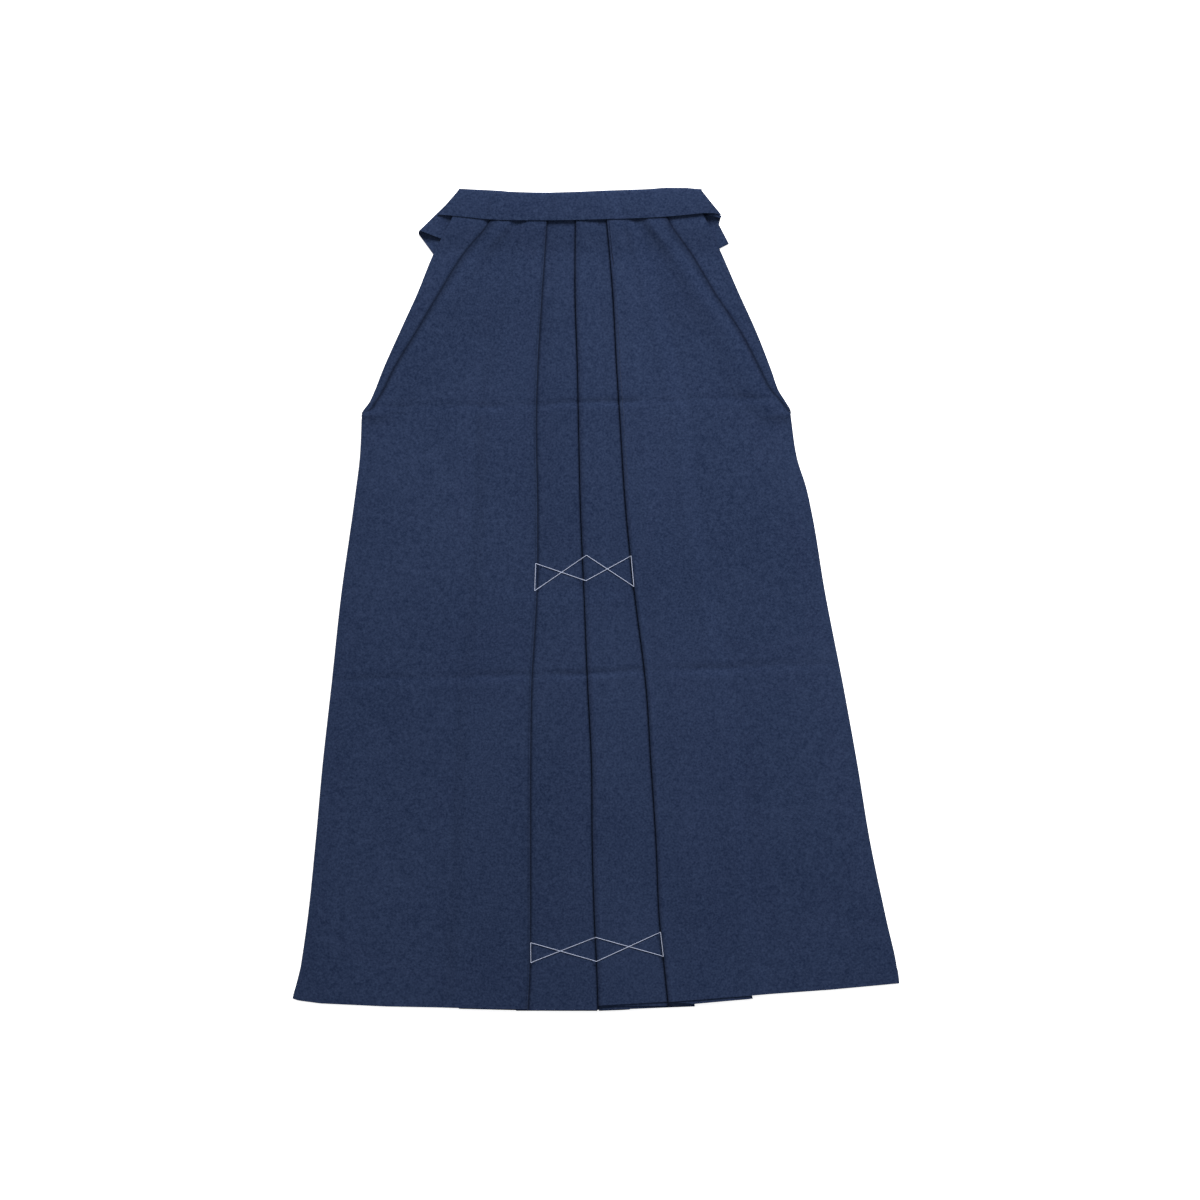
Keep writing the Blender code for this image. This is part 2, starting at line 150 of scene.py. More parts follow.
# Unevenness of creases, springs and swell: each wave's height and its length.
Wave = namedtuple("Wave", "height length")
CREASE_WANDER = Wave(0.8, 19.0)
CREASE_QUIVER = Wave(0.4, 7.3)
CREASE_DEPTH_WAVE = Wave(0.2, 31.0)
CREASE_FADE = 0.18          # share of a crease over which each end fades in
CREASE_RUN_OUT = 0.3        # and the share of that fade which lies past the end
PUFF_WAVE = Wave(0.16, 33.0)
PUFF_RIPPLE = Wave(0.10, 11.0)
PUFF_TURN = 9.0             # each edge starts its wave at its own place
LEAST_SWELL = 0.15
EDGE_START = -2.0           # from a front's outer edge in to where it lifts fully
EDGE_END = 26.0
EDGE_SWELL = 0.12           # share of the swell that is left at an outer edge
SWELL_LEVEL = 1.5           # level of the stack from which the swell is whole
BAND_PILE = 3.0             # levels that the folded bands lift the fronts at the waist

# Broad waves in the fronts' lift: height, length along each axis and start.
Swell = namedtuple("Swell", "height x_length y_length start")
SWELL_WAVES = (
    Swell(0.16, 47.0, 83.0, 0.0),
    Swell(0.14, 71.0, -59.0, 1.3),
)
Patch = namedtuple("Patch", "height x_length x_start y_length y_start")
SWELL_PATCH = Patch(0.10, 29.0, 0.7, 37.0, 0.4)

# Outer edges of the fronts, from the foot of the side openings down.
Skirt = namedtuple("Skirt", "y left right")
SKIRT = (
    Skirt(214.0, -270.3, 224.6),
    Skirt(160.0, -273.0, 233.0),
    Skirt(130.0, -276.8, 242.6),
    Skirt(100.0, -280.8, 249.2),
    Skirt(10.0, -293.6, 264.2),
    Skirt(-100.0, -305.6, 285.6),
    Skirt(-190.0, -315.6, 301.8),
    Skirt(-280.0, -323.8, 316.6),
    Skirt(-370.0, -333.2, 335.4),
    Skirt(-425.0, -341.2, 347.4),
    Skirt(-475.0, -350.4, 350.4),
)

# Beside the openings: the fronts' folded edges, and the side pleats' edges past them.
Side = namedtuple("Side", "y left_fold left_edge right_fold right_edge")
SIDES = (
    Side(474.0, -110.0, -150.0, 72.0, 108.0),
    Side(436.0, -122.4, -168.2, 84.0, 127.8),
    Side(399.0, -152.5, -187.6, 109.4, 145.2),
    Side(354.0, -180.6, -206.0, 136.4, 164.8),
    Side(309.0, -207.3, -226.6, 166.4, 185.2),
    Side(264.0, -234.4, -246.6, 190.0, 202.8),
    Side(240.0, -246.2, -256.0, 203.0, 211.6),
    Side(228.0, -253.8, -261.6, 213.8, 219.2),
    Side(217.0, -263.4, -269.6, 222.4, 225.0),
    Side(214.0, -270.3, -271.2, 224.6, 225.2),
)

# The three pleat edges that show.
Pleats = namedtuple("Pleats", "y left centre right")
PLEATS = (
    Pleats(474.0, -54.0, -23.2, 8.0),
    Pleats(436.0, -56.8, -23.6, 12.2),
    Pleats(354.0, -62.2, -24.0, 19.4),
    Pleats(264.0, -67.4, -21.2, 24.2),
    Pleats(214.0, -69.0, -20.2, 27.4),
    Pleats(100.0, -67.4, -17.6, 34.8),
    Pleats(10.0, -68.2, -13.8, 44.2),
    Pleats(-100.0, -74.2, -9.4, 57.8),
    Pleats(-190.0, -75.6, -5.0, 63.6),
    Pleats(-280.0, -75.8, -4.2, 69.4),
    Pleats(-370.0, -75.8, -1.6, 73.4),
    Pleats(-425.0, -76.2, 1.0, 79.0),
    Pleats(-475.0, -78.4, 2.4, 83.2),
)

# Depth of each hidden fold behind the pleat edge it belongs to.
Depth = namedtuple("Depth", "y left centre right gusset_left gusset_right side")
DEPTHS = (
    Depth(474.0, 17.0, 5.0, 20.0, 9.0, 27.0, 10.0),
    Depth(436.0, 18.4, 6.0, 21.0, 9.4, 27.4, 20.0),
    Depth(214.0, 50.0, 14.0, 60.0, 11.4, 30.6, 4.0),
    Depth(-475.0, 80.0, 30.8, 97.8, 15.4, 38.1, 4.0),
)

# Middle of the backs' lap.
Centre = namedtuple("Centre", "y back")
CENTRE_BACK = (
    Centre(474.0, -23.0),
    Centre(-475.0, 0.0),
)

# Sides of the backs, down to just past the openings.
Back = namedtuple("Back", "y left right")
BACK_SIDES = (
    Back(474.0, -100.0, 58.0),
    Back(436.0, -112.0, 70.0),
    Back(214.0, -266.0, 220.6),
    Back(205.0, -270.4, 226.0),
)

# Each layer's own hem, from the wearer's right to the left.
Hem = namedtuple("Hem", "x y")
OUTER_HEM = (
    Hem(-350.4, -460.6),
    Hem(-344.0, -463.0),
    Hem(-318.0, -466.4),
    Hem(-242.6, -469.9),
    Hem(-168.0, -471.3),
    Hem(-78.4, -472.8),
    Hem(2.4, -468.6),
    Hem(83.2, -464.2),
    Hem(181.0, -457.0),
    Hem(270.0, -450.6),
    Hem(350.4, -443.2),
)
MIDDLE_HEM = (
    Hem(-158.4, -472.4),
    Hem(-78.4, -474.2),
    Hem(2.4, -473.6),
    Hem(40.5, -472.6),
    Hem(114.0, -469.8),
)
CENTRE_PLEAT_HEM = (
    Hem(2.4, -469.0),
    Hem(114.0, -468.8),
)
MIDDLE_LEFT_HEM = (
    Hem(2.4, -468.3),
    Hem(83.2, -464.0),
    Hem(114.0, -463.6),
    Hem(181.0, -460.9),
)
RIGHT_PLEAT_HEM = (
    Hem(83.2, -464.0),
    Hem(114.0, -466.6),
    Hem(181.0, -460.9),
)
GUSSET_HEM = (
    Hem(-94.0, -474.8),
    Hem(2.4, -474.8),
    Hem(40.5, -473.4),
)
BACK_HEM_SHORT = 4.0        # the backs' hem lies this far above the fronts'

# Edges of the front band along it, and where its slanted ends run past the fronts.
Band = namedtuple("Band", "x lower upper")
FRONT_BAND = (
    Band(-182.5, 444.1, 474.1),
    Band(-158.2, 442.2, 474.1),
    Band(-123.6, 438.3, 471.6),
    Band(-75.0, 437.2, 469.5),
    Band(20.0, 438.6, 471.8),
    Band(78.5, 441.2, 474.2),
    Band(98.0, 442.6, 475.2),
    Band(117.0, 444.9, 473.8),
    Band(136.0, 445.6, 472.4),
    Band(144.4, 443.4, 471.0),
)
BAND_LEFT_END = ((-182.5, -158.2), (-168.0, -148.0))
BAND_LEFT_OVER = (0.1, 0.7)
BAND_RIGHT_END = ((124.0, 104.0), (136.0, 114.0), (144.4, 122.0))
BAND_RIGHT_OVER = 2.6
BAND_CROWN = 0.5            # how full the front band's face stands
CROWN_POWER = 0.7
BAND_HALF = 0.65            # least half height of a band's fold
BAND_INSIDE_SHORT = 1.0     # a band's inner half ends this far above its outer one

# The shared lines that the front band follows, how far beside each, and how many layers
# above the lowest front its outer face lies there.
Over = namedtuple("Over", "line shift layers")
FRONT_BAND_OVER = (
    Over("left", -CLEAR - RAMP, 1.0),
    Over("left", -CLEAR, 3.0),
    Over("left", 0.0, 3.0),
    Over("side_left", 0.0, 3.0),
    Over("side_left_clear", 0.0, 3.0),
    Over("side_left_ramp", 0.0, 3.0),
    Over("hidden_left", 0.0, 3.0),
    Over("pleat_left", 0.0, 3.0),
    Over("lap_left", 0.0, 3.0),
    Over("pleat_centre", 0.0, 3.2),
    Over("lap_right", 0.0, 4.2),
    Over("pleat_right", -CLEAR, 5.0),
    Over("hidden_centre", 0.0, 5.0),
    Over("hidden_centre_clear", 0.0, 5.0),
    Over("hidden_centre_ramp", 0.0, 3.0),
    Over("hidden_right", 0.0, 3.0),
    Over("side_right_ramp", 0.0, 3.0),
    Over("side_right_clear", 0.0, 3.0),
    Over("side_right", 0.0, 3.0),
    Over("right", 0.0, 3.0),
    Over("right", CLEAR, 3.0),
    Over("right", CLEAR + RAMP, 2.8),
)
BACK_BAND_LOWER = 440.0
BACK_BAND_UPPER = 466.0
BACK_BAND_LEFT = -107.0
BACK_BAND_RIGHT = 66.0
BACK_BAND_SLANT = 3.0
BACK_BAND_LAYERS = 2.0      # layers under its upper half, beside the backs' lap
BACK_BAND_LINES = ("hidden_left", "pleat_left", "lap_left", "lap_right", "gusset_right",
                   "hidden_centre")

# Stations of the folded ties, from the hidden end to the fold and back from it.
Tie = namedtuple("Tie", "upper_x upper_y upper_z lower_x lower_y lower_z")
BACK_TIE_RIGHT_OVER = (
    Tie(-128.0, 448.6, 1.8, -145.0, 407.0, 1.8),
    Tie(-160.0, 450.0, 2.6, -180.0, 417.0, 3.6),
    Tie(-168.2, 458.4, 3.8, -202.4, 425.4, 8.4),
)
BACK_TIE_RIGHT_UNDER = (
    Tie(-168.2, 457.6, 0.5, -204.0, 420.6, 0.5),
    Tie(-135.0, 413.5, 0.5, -169.0, 373.0, 0.5),
)
BACK_TIE_LEFT_OVER = (
    Tie(103.6, 430.9, 1.8, 134.8, 446.8, 1.8),
    Tie(121.8, 395.8, 1.8, 153.0, 411.7, 1.8),
)
BACK_TIE_LEFT_UNDER = (
    Tie(121.8, 395.8, 0.5, 153.0, 411.7, 0.5),
    Tie(118.6, 402.0, 0.5, 149.8, 417.9, 0.5),
)
FRONT_TIE_LEFT_OVER = (
    Tie(112.0, 467.0, 4.1, 131.0, 442.5, 4.1),
    Tie(123.0, 467.0, 4.1, 143.6, 440.6, 4.1),
)
FRONT_TIE_LEFT_UNDER = (
    Tie(123.0, 467.0, 0.5, 143.6, 440.6, 0.5),
    Tie(115.4, 429.0, 0.5, 140.6, 425.4, 0.5),
)
FRONT_TIE_RIGHT = (
    Tie(-136.0, 468.0, 4.6, -150.0, 447.0, 4.6),
    Tie(-160.6, 468.0, 4.6, -179.0, 447.0, 4.6),
)

# Each tie: its stations over and under its fold, and the way that its fold faces.
TIES = {
    "back_tie_right": (BACK_TIE_RIGHT_OVER, BACK_TIE_RIGHT_UNDER, (-0.753, 0.657)),
    "back_tie_left": (BACK_TIE_LEFT_OVER, BACK_TIE_LEFT_UNDER, (0.455, -0.89)),
    "front_tie_left": (FRONT_TIE_LEFT_OVER, FRONT_TIE_LEFT_UNDER, (0.79, 0.61)),
    "front_tie_right": (FRONT_TIE_RIGHT, (), (-0.75, 0.66)),
}

# Lines that the layers share, hem to waist, and how many cells follow each one.
LINE_CELLS = (
    ("left", 1), ("rim_left", 2), ("side_left", 1), ("side_left_clear", 10),
    ("side_left_ramp", 9), ("panel_left_outer", 9), ("panel_left_inner", 9),
    ("hidden_left_ramp", 6), ("hidden_left_clear", 1), ("hidden_left", 12),
    ("gusset_left", 6), ("within_left", 1), ("pleat_left", 1), ("beside_left", 1),
    ("beyond_left", 10), ("lap_left", 4), ("beyond_centre", 1), ("beside_centre", 1),
    ("pleat_centre", 1), ("within_centre", 4), ("lap_right", 4), ("gusset_right", 8),
    ("beyond_right", 1), ("beside_right", 1), ("pleat_right", 1), ("within_right", 7),
    ("hidden_centre", 1), ("hidden_centre_clear", 12), ("hidden_centre_ramp", 3),
    ("hidden_right", 1), ("hidden_right_clear", 6), ("hidden_right_ramp", 7),
    ("panel_right_inner", 7), ("panel_right_outer", 7), ("side_right_ramp", 10),
    ("side_right_clear", 1), ("side_right", 2), ("rim_right", 1), ("right", 0),
)

# The outer panels' own lines, which part the room between two others in three.
PANELS = (
    ("side_left_ramp", "hidden_left_ramp", "panel_left_outer", "panel_left_inner"),
    ("hidden_right_ramp", "side_right_ramp", "panel_right_inner", "panel_right_outer"),
)

# Creases pressed and worn into the cloth: a line, its reach to each side and its depth.
Crease = namedtuple("Crease", "x0 y0 x1 y1 reach depth")
STORAGE_CREASES = (
    Crease(-300.0, 221.5, -90.0, 224.0, 4.6, 0.95),
    Crease(-90.0, 224.0, 60.0, 229.5, 4.0, 1.30),
    Crease(60.0, 229.5, 250.0, 233.5, 4.8, 0.95),
    Crease(-330.0, -94.5, -60.0, -87.0, 5.0, 1.15),
    Crease(-60.0, -87.0, 70.0, -82.5, 4.4, 1.35),
    Crease(70.0, -82.5, 310.0, -72.5, 5.2, 1.25),
)
SOFT_CREASES = (
    Crease(-139.0, 316.0, -141.0, 60.0, 7.0, 0.32),
    Crease(-150.0, 380.0, -205.0, 330.0, 12.0, 0.30),
    Crease(-115.0, 352.0, -185.0, 318.0, 14.0, 0.28),
    Crease(52.0, 372.0, 118.0, 262.0, 15.0, 0.36),
    Crease(92.0, 330.0, 186.0, 250.0, 13.0, 0.24),
    Crease(97.0, 224.0, 150.0, -190.0, 9.0, 0.30),
    Crease(150.0, -190.0, 156.0, -446.0, 10.0, 0.34),
    Crease(-190.0, -260.0, -176.0, -450.0, 12.0, 0.30),
    Crease(-262.0, -120.0, -236.0, -400.0, 16.0, 0.24),
    Crease(228.0, 60.0, 262.0, -170.0, 15.0, 0.26),
    Crease(-120.0, 20.0, -158.0, 12.0, 4.0, 0.20),
    Crease(196.0, -330.0, 300.0, -345.0, 13.0, 0.20),
)

# Flat cut of what is built of each piece: width, length and area.
Cut = namedtuple("Cut", "width length area")

# Corners of the two rows of basting on the left, centre and right pleat edges.
Basting = namedtuple("Basting", "left_top left_foot centre_top centre_foot right_top right_foot")
BASTING = (
    Basting((-69.6, 41.6), (-70.8, 10.0), (-11.0, 51.0), (-11.6, 21.6),
            (40.4, 50.2), (43.6, 15.0)),
    Basting((-75.4, -396.0), (-75.2, -419.0), (-0.3, -389.6), (0.4, -417.4),
            (74.4, -383.8), (77.6, -411.6)),
)
BASTING_RUNS = (
    ("left_top", "left_foot"), ("left_top", "centre_foot"), ("left_foot", "centre_top"),
    ("centre_top", "right_foot"), ("centre_foot", "right_top"), ("right_top", "right_foot"),
)
THREAD_RADIUS = 0.37
THREAD_BRIDGE = 2.4         # a thread bridges the step beside a fold this far out
THREAD_SEAT = 0.8           # share of its radius that its middle lies above the cloth
THREAD_BOW = 0.3

# Unevenness of the dye and the slubs: cells a metre, detail, and strength.
Mottle = namedtuple("Mottle", "scale detail strength")
MOTTLE = (Mottle(5.0, 2.0, 0.5), Mottle(150.0, 2.0, 0.7), Mottle(430.0, 2.0, 1.9))
NAP = Mottle(900.0, 2.0, 1.0)
FLECK = Mottle(600.0, 2.0, 0.22)
FLECK_LOW = 0.3
FLECK_HIGH = 0.7
NOISE_ROUGHNESS = 0.6
SHEEN_ROUGHNESS = 0.5
CLOTH_GLOSS = 0.05
THREAD_ROUGHNESS = 0.8
THREAD_SHEEN = 0.15
FLOOR_ROUGHNESS = 0.9
FLOOR_GLOSS = 0.1
WEAVE_RELIEF = 0.5
BUMP_STRENGTH = 0.35
BUMP_DEPTH = 0.00025

# Stage: the key light's place, size and power, the light of the room and the camera.
KEY_PLACE = (0.8, 2.9, 2.05)
KEY_SIZE = 1.2
KEY_POWER = 232.0
ROOM_LIGHT = 0.55
CAMERA_X = 0.0046
CAMERA_Y = -0.0006
SENSOR_WIDTH = 36.0
CAMERA_REACH = 50.0
FLOOR_REACH = 6.0
FLOOR_DROP = 0.0002
WHITE = (1.0, 1.0, 1.0, 1.0)


class HakamaCloth(bpy.types.PropertyGroup):
    """Wall of the cloth and how its layers stack"""
    wall: FloatProperty(name="Wall", description="Thickness of one layer",
                        subtype="DISTANCE", unit="LENGTH", precision=4,
                        default=0.001, min=0.0003, max=0.003)
    gap: FloatProperty(name="Gap", description="Air between two layers",
                       subtype="DISTANCE", unit="LENGTH", precision=4,
                       default=0.0003, min=0.00005, max=0.001)
    swell: FloatProperty(name="Swell", description="How far the fronts lift off the backs",
                         subtype="DISTANCE", unit="LENGTH", precision=4,
                         default=0.0015, min=0.0, max=0.004)
    spring: FloatProperty(name="Spring", description="How proud a pleat edge stands",
                          subtype="DISTANCE", unit="LENGTH", precision=4,
                          default=0.0011, min=0.0, max=0.003)
    spring_reach: FloatProperty(name="Spring reach", description="Reach of that spring",
                                subtype="DISTANCE", unit="LENGTH", precision=4,
                                default=0.006, min=0.001, max=0.02)
    nose_steps: IntProperty(name="Fold steps", description="Facets round one folded edge",
                            default=5, min=2, max=12)


class HakamaColour(bpy.types.PropertyGroup):
    """Colours and finish of the cloth and the thread"""
    navy_deep: FloatVectorProperty(name="Deep navy", description="Darkest of the mottle",
                                   subtype="COLOR", size=3, min=0.0, max=1.0,
                                   default=(0.0065, 0.0128, 0.0352))
    navy_light: FloatVectorProperty(name="Light navy", description="Lightest of the mottle",
                                    subtype="COLOR", size=3, min=0.0, max=1.0,
                                    default=(0.0223, 0.0347, 0.0747))
    # Painted shade: how much the folded edges are darkened, and the dark colour mixed in there.
    painted_shading: FloatProperty(name="Pressing", description="How much a pressed edge darkens",
                            subtype="FACTOR", default=0.74, min=0.0, max=1.0)
    crevice_shade: FloatVectorProperty(name="Crevice", description="Colour in a pressed edge",
                                 subtype="COLOR", size=3, min=0.0, max=1.0,
                                 default=(0.0010, 0.0024, 0.0080))
    thread: FloatVectorProperty(name="Basting", description="Colour of the basting thread",
                                subtype="COLOR", size=3, min=0.0, max=1.0,
                                default=(0.35, 0.39, 0.52))
    roughness: FloatProperty(name="Roughness", description="Roughness of the cloth",
                             subtype="FACTOR", default=0.9, min=0.0, max=1.0)
    sheen: FloatProperty(name="Sheen", description="Soft sheen of the nap",
                         subtype="FACTOR", default=0.02, min=0.0, max=1.0)
    thread_pitch: FloatProperty(name="Thread pitch", description="Spacing of the weave",
                                subtype="DISTANCE", unit="LENGTH", default=0.0007,
                                min=0.0002, max=0.003)


class HakamaStage(bpy.types.PropertyGroup):
    """Floor, light and camera"""
    floor: FloatVectorProperty(name="Floor", description="Colour of the floor",
                               subtype="COLOR", size=3, min=0.0, max=1.0,
                               default=(0.88, 0.88, 0.88))
    table_glow: FloatProperty(name="Table glow", description="Light that the table gives",
                              default=0.65, min=0.0, max=2.0)
    frame_width: FloatProperty(name="Frame width", description="Width that the camera sees",
                               subtype="DISTANCE", unit="LENGTH", default=1.386, min=0.2)
    camera_height: FloatProperty(name="Camera height", description="Height of the camera",
                                 subtype="DISTANCE", unit="LENGTH", default=6.0, min=1.0)


Cloth = namedtuple("Cloth", "wall gap swell spring spring_reach")


def cloth_settings():
    """The cloth's lengths as the user sets them, in millimetres."""
    lengths = bpy.context.scene.hakama_cloth
    return Cloth(*(round(getattr(lengths, name) / MM, 5) for name in Cloth._fields))


def read(table, column, at):
    """A smooth line through one column of a table, at places in its first column."""
    rows = sorted(table, key=lambda row: row[0])
    key = np.array([row[0] for row in rows])
    value = np.array([getattr(row, column) for row in rows])
    at = np.asarray(at, dtype=float)
    span = np.diff(key)
    slope = np.diff(value) / span
    tangent = np.empty_like(value)
    tangent[0], tangent[-1] = slope[0], slope[-1]
    weight = span[1:] / (span[:-1] + span[1:])
    tangent[1:-1] = weight * slope[:-1] + (1.0 - weight) * slope[1:]
    cell = np.clip(np.searchsorted(key, at, side="right") - 1, 0, len(span) - 1)
    share = np.clip((at - key[cell]) / span[cell], 0.0, 1.0)
    ease = share * share * (3.0 - 2.0 * share)
    bend_in = share * (share - 1.0) ** 2 * tangent[cell] * span[cell]
    bend_out = share ** 2 * (share - 1.0) * tangent[cell + 1] * span[cell]
    return value[cell] + ease * (value[cell + 1] - value[cell]) + bend_in + bend_out


def step(value, start, end):
    """0 before start, 1 after end, with a soft run between; end may lie before start."""
    share = np.clip((value - start) / (end - start), 0.0, 1.0)
    return share * share * (3.0 - 2.0 * share)


def straight(table, column, at):
    """As read, but with straight runs between the rows."""
    rows = sorted(table, key=lambda row: row[0])
    return np.interp(at, [row[0] for row in rows], [getattr(row, column) for row in rows])


def lattice(y):
    """Every line that the layers share, by name, at each height."""
    y = np.asarray(y, dtype=float)
    above = y > OPENING_FOOT
    left = np.where(above, read(SIDES, "left_fold", y), read(SKIRT, "left", y))
    right = np.where(above, read(SIDES, "right_fold", y), read(SKIRT, "right", y))
    side = straight(DEPTHS, "side", y)
    pleat_left = read(PLEATS, "left", y)
    pleat_centre = read(PLEATS, "centre", y)
    pleat_right = read(PLEATS, "right", y)
    centre_back = straight(CENTRE_BACK, "back", y)
    hidden_left = pleat_left - straight(DEPTHS, "left", y)
    hidden_centre = pleat_right + straight(DEPTHS, "centre", y)
    hidden_right = pleat_right + straight(DEPTHS, "right", y)
    centre_run = CENTRE_SHARE * (hidden_right - hidden_centre - CLEAR)
    left_room = ROOM_SHARE * (hidden_left - left - side - 2.0 * CLEAR)
    right_room = ROOM_SHARE * (right - side - hidden_right - 2.0 * CLEAR)
    lines = {
        "left": left,
        "rim_left": left + RIM,
        "side_left": left + side,
        "side_left_clear": left + side + CLEAR,
        "side_left_ramp": left + side + CLEAR + np.minimum(SIDE_RUN, left_room),
        "hidden_left_ramp": hidden_left - CLEAR - np.minimum(FOLD_RUN, left_room),
        "hidden_left_clear": hidden_left - CLEAR,
        "hidden_left": hidden_left,
        "gusset_left": pleat_left - straight(DEPTHS, "gusset_left", y),
        "within_left": pleat_left - RIM,
        "pleat_left": pleat_left,
        "beside_left": pleat_left + BESIDE,
        "beyond_left": pleat_left + BEYOND,
        "lap_left": centre_back - LAP - CLEAR,
        "beyond_centre": pleat_centre - BEYOND,
        "beside_centre": pleat_centre - BESIDE,
        "pleat_centre": pleat_centre,
        "within_centre": pleat_centre + RIM,
        "lap_right": centre_back + LAP + CLEAR,
        "gusset_right": pleat_centre + straight(DEPTHS, "gusset_right", y),
        "beyond_right": pleat_right - BEYOND,
        "beside_right": pleat_right - BESIDE,
        "pleat_right": pleat_right,
        "within_right": pleat_right + RIM,
        "hidden_centre": hidden_centre,
        "hidden_centre_clear": hidden_centre + CLEAR,
        "hidden_centre_ramp": hidden_centre + CLEAR + centre_run,
        "hidden_right": hidden_right,
        "hidden_right_clear": hidden_right + CLEAR,
        "hidden_right_ramp": hidden_right + CLEAR + np.minimum(FOLD_RUN, right_room),
        "side_right_ramp": right - side - CLEAR - np.minimum(SIDE_RUN, right_room),
        "side_right_clear": right - side - CLEAR,
        "side_right": right - side,
        "rim_right": right - RIM,
        "right": right,
    }
    for start, end, near, far in PANELS:
        span = lines[end] - lines[start]
        lines[near] = lines[start] + span / 3.0
        lines[far] = lines[start] + span * 2.0 / 3.0
    return {name: value[:, None] for name, value in lines.items()}


def garment_rows(top, foot=HEM_ROW):
    """Heights of the rows, closer together where the storage creases cross."""
    rows = list(np.arange(HEM_ROW, FRONT_TOP, ROW_STEP)) + [top, foot, PLEAT_FOOT, CROTCH]
    for crease in STORAGE_CREASES:
        middle = 0.5 * (crease.y0 + crease.y1)
        rows += list(np.arange(middle - CREASE_ROWS_REACH, middle + CREASE_ROWS_REACH,
                               CREASE_ROW_STEP))
    rows = np.unique(np.round(rows, 1))
    rows = rows[(rows <= top) & (rows >= foot)][::-1]
    keep = [rows[0]]
    for height in rows[1:-1]:
        if min(keep[-1] - height, height - rows[-1]) >= LEAST_ROW_GAP:
            keep.append(height)
    return np.array(keep + [rows[-1]])


def crease_depth(crease, x, y):
    """How far one crease sinks the cloth: soft across, and faded at its ends."""
    run_x, run_y = crease.x1 - crease.x0, crease.y1 - crease.y0
    length = math.hypot(run_x, run_y)
    along = ((x - crease.x0) * run_x + (y - crease.y0) * run_y) / length
    across = ((x - crease.x0) * run_y - (y - crease.y0) * run_x) / length
    across = across + CREASE_WANDER.height * np.sin(along / CREASE_WANDER.length + crease.x0)
    across = across + CREASE_QUIVER.height * np.sin(along / CREASE_QUIVER.length)
    fade = CREASE_FADE * length
    past = CREASE_RUN_OUT * fade
    ends = step(along, -past, fade) * step(along, length + past, length - fade)
    wave = CREASE_DEPTH_WAVE
    uneven = 1.0 - wave.height + wave.height * np.sin(along / wave.length + crease.y0)
    return crease.depth * ends * uneven * np.exp(-(across / crease.reach) ** 2)


def swell(x, y):
    """Lift of the fronts over the backs, with its broad unevenness and its creases."""
    lift = cloth_settings().swell
    for wave in SWELL_WAVES:
        lift = lift + wave.height * np.sin(x / wave.x_length + y / wave.y_length + wave.start)
    patch = SWELL_PATCH
    along_x = patch.height * np.sin(x / patch.x_length + patch.x_start)
    lift = lift + along_x * np.sin(y / patch.y_length + patch.y_start)
    for crease in STORAGE_CREASES + SOFT_CREASES:
        lift = lift - crease_depth(crease, x, y)
    edges = lattice(np.clip(np.ravel(y), HEM_ROW, FRONT_TOP))
    left = x - edges["left"].reshape(np.shape(y))
    right = edges["right"].reshape(np.shape(y)) - x
    edge = step(np.minimum(left, right), EDGE_START, EDGE_END)
    return np.maximum(lift, LEAST_SWELL) * (EDGE_SWELL + (1.0 - EDGE_SWELL) * edge)


def band_rise(y):
    """Share of the climb onto the back band, 1 where the whole pile lies on it."""
    return step(y, BAND_RAMP_FOOT, BAND_FOOT)


def lap_cover(x, lines):
    """1 where both backs lie under the fronts, 0 where one does."""
    left = step(x, lines["pleat_left"], lines["lap_left"])
    right = step(x, lines["gusset_right"], lines["lap_right"])
    return np.minimum(left, right)


def gusset_cover(x, y, lines):
    """1 where a gusset lies under the fronts."""
    left = step(x, lines["hidden_left"], lines["gusset_left"])
    right = step(x, lines["pleat_right"], lines["gusset_right"])
    below = step(y, GUSSET_RAMP_TOP, GUSSET_RAMP_FOOT)
    return np.minimum(np.minimum(left, right), below)


def side_cover(x, y, lines):
    """1 where a side pleat lies under its front."""
    left = step(x, lines["side_left_ramp"], lines["side_left_clear"])
    right = step(x, lines["side_right_ramp"], lines["side_right_clear"])
    return np.maximum(left, right) * step(y, SIDE_RAMP_FOOT, PLEAT_FOOT)


def base_level(x, y, lines):
    """Layers under the lowest layer of the fronts."""
    lift = step(y, TIE_LIFT_LOW, TIE_LIFT_HIGH)
    layers = 1.0 + lap_cover(x, lines) + gusset_cover(x, y, lines) + lift
    return layers + BAND_PILE * band_rise(y)


def back_right_level(x, y, lines):
    """The wearer's right back, the lowest layer."""
    return band_rise(y) + 0.0 * x


def back_left_level(x, y, lines):
    """The wearer's left back, which laps over the right one."""
    return band_rise(y) + step(x, lines["gusset_right"], lines["lap_right"])


def gusset_level(x, y, lines):
    """The gussets, which lie on the backs."""
    return 1.0 + lap_cover(x, lines)


def right_pleat_level(x, y, lines):
    """The inside of the left pleat and of the centre one."""
    return base_level(x, y, lines) + 1.0


def right_outer_level(x, y, lines):
    """The outer panel of the wearer's right front."""
    over_pleat = step(x, lines["hidden_left_ramp"], lines["hidden_left_clear"])
    return base_level(x, y, lines) + 2.0 * over_pleat + 2.0 * side_cover(x, y, lines)


def left_middle_level(x, y, lines):
    """The middle panel of the wearer's left front."""
    over_pleat = step(x, lines["hidden_centre_ramp"], lines["hidden_centre_clear"])
    return base_level(x, y, lines) + 2.0 * over_pleat


def left_pleat_level(x, y, lines):
    """The inside of the right pleat."""
    return left_middle_level(x, y, lines) + 1.0


def left_outer_level(x, y, lines):
    """The outer panel of the wearer's left front."""
    over_pleat = step(x, lines["hidden_right_ramp"], lines["hidden_right_clear"])
    rise = 2.0 * over_pleat + 2.0 * side_cover(x, y, lines)
    return left_middle_level(x, y, lines) + rise


def stack_height(level):
    """Middle of a layer's wall at a level of the stack, on cloth that lies dead flat."""
    cloth = cloth_settings()
    return cloth.wall / 2.0 + (cloth.wall + cloth.gap) * level


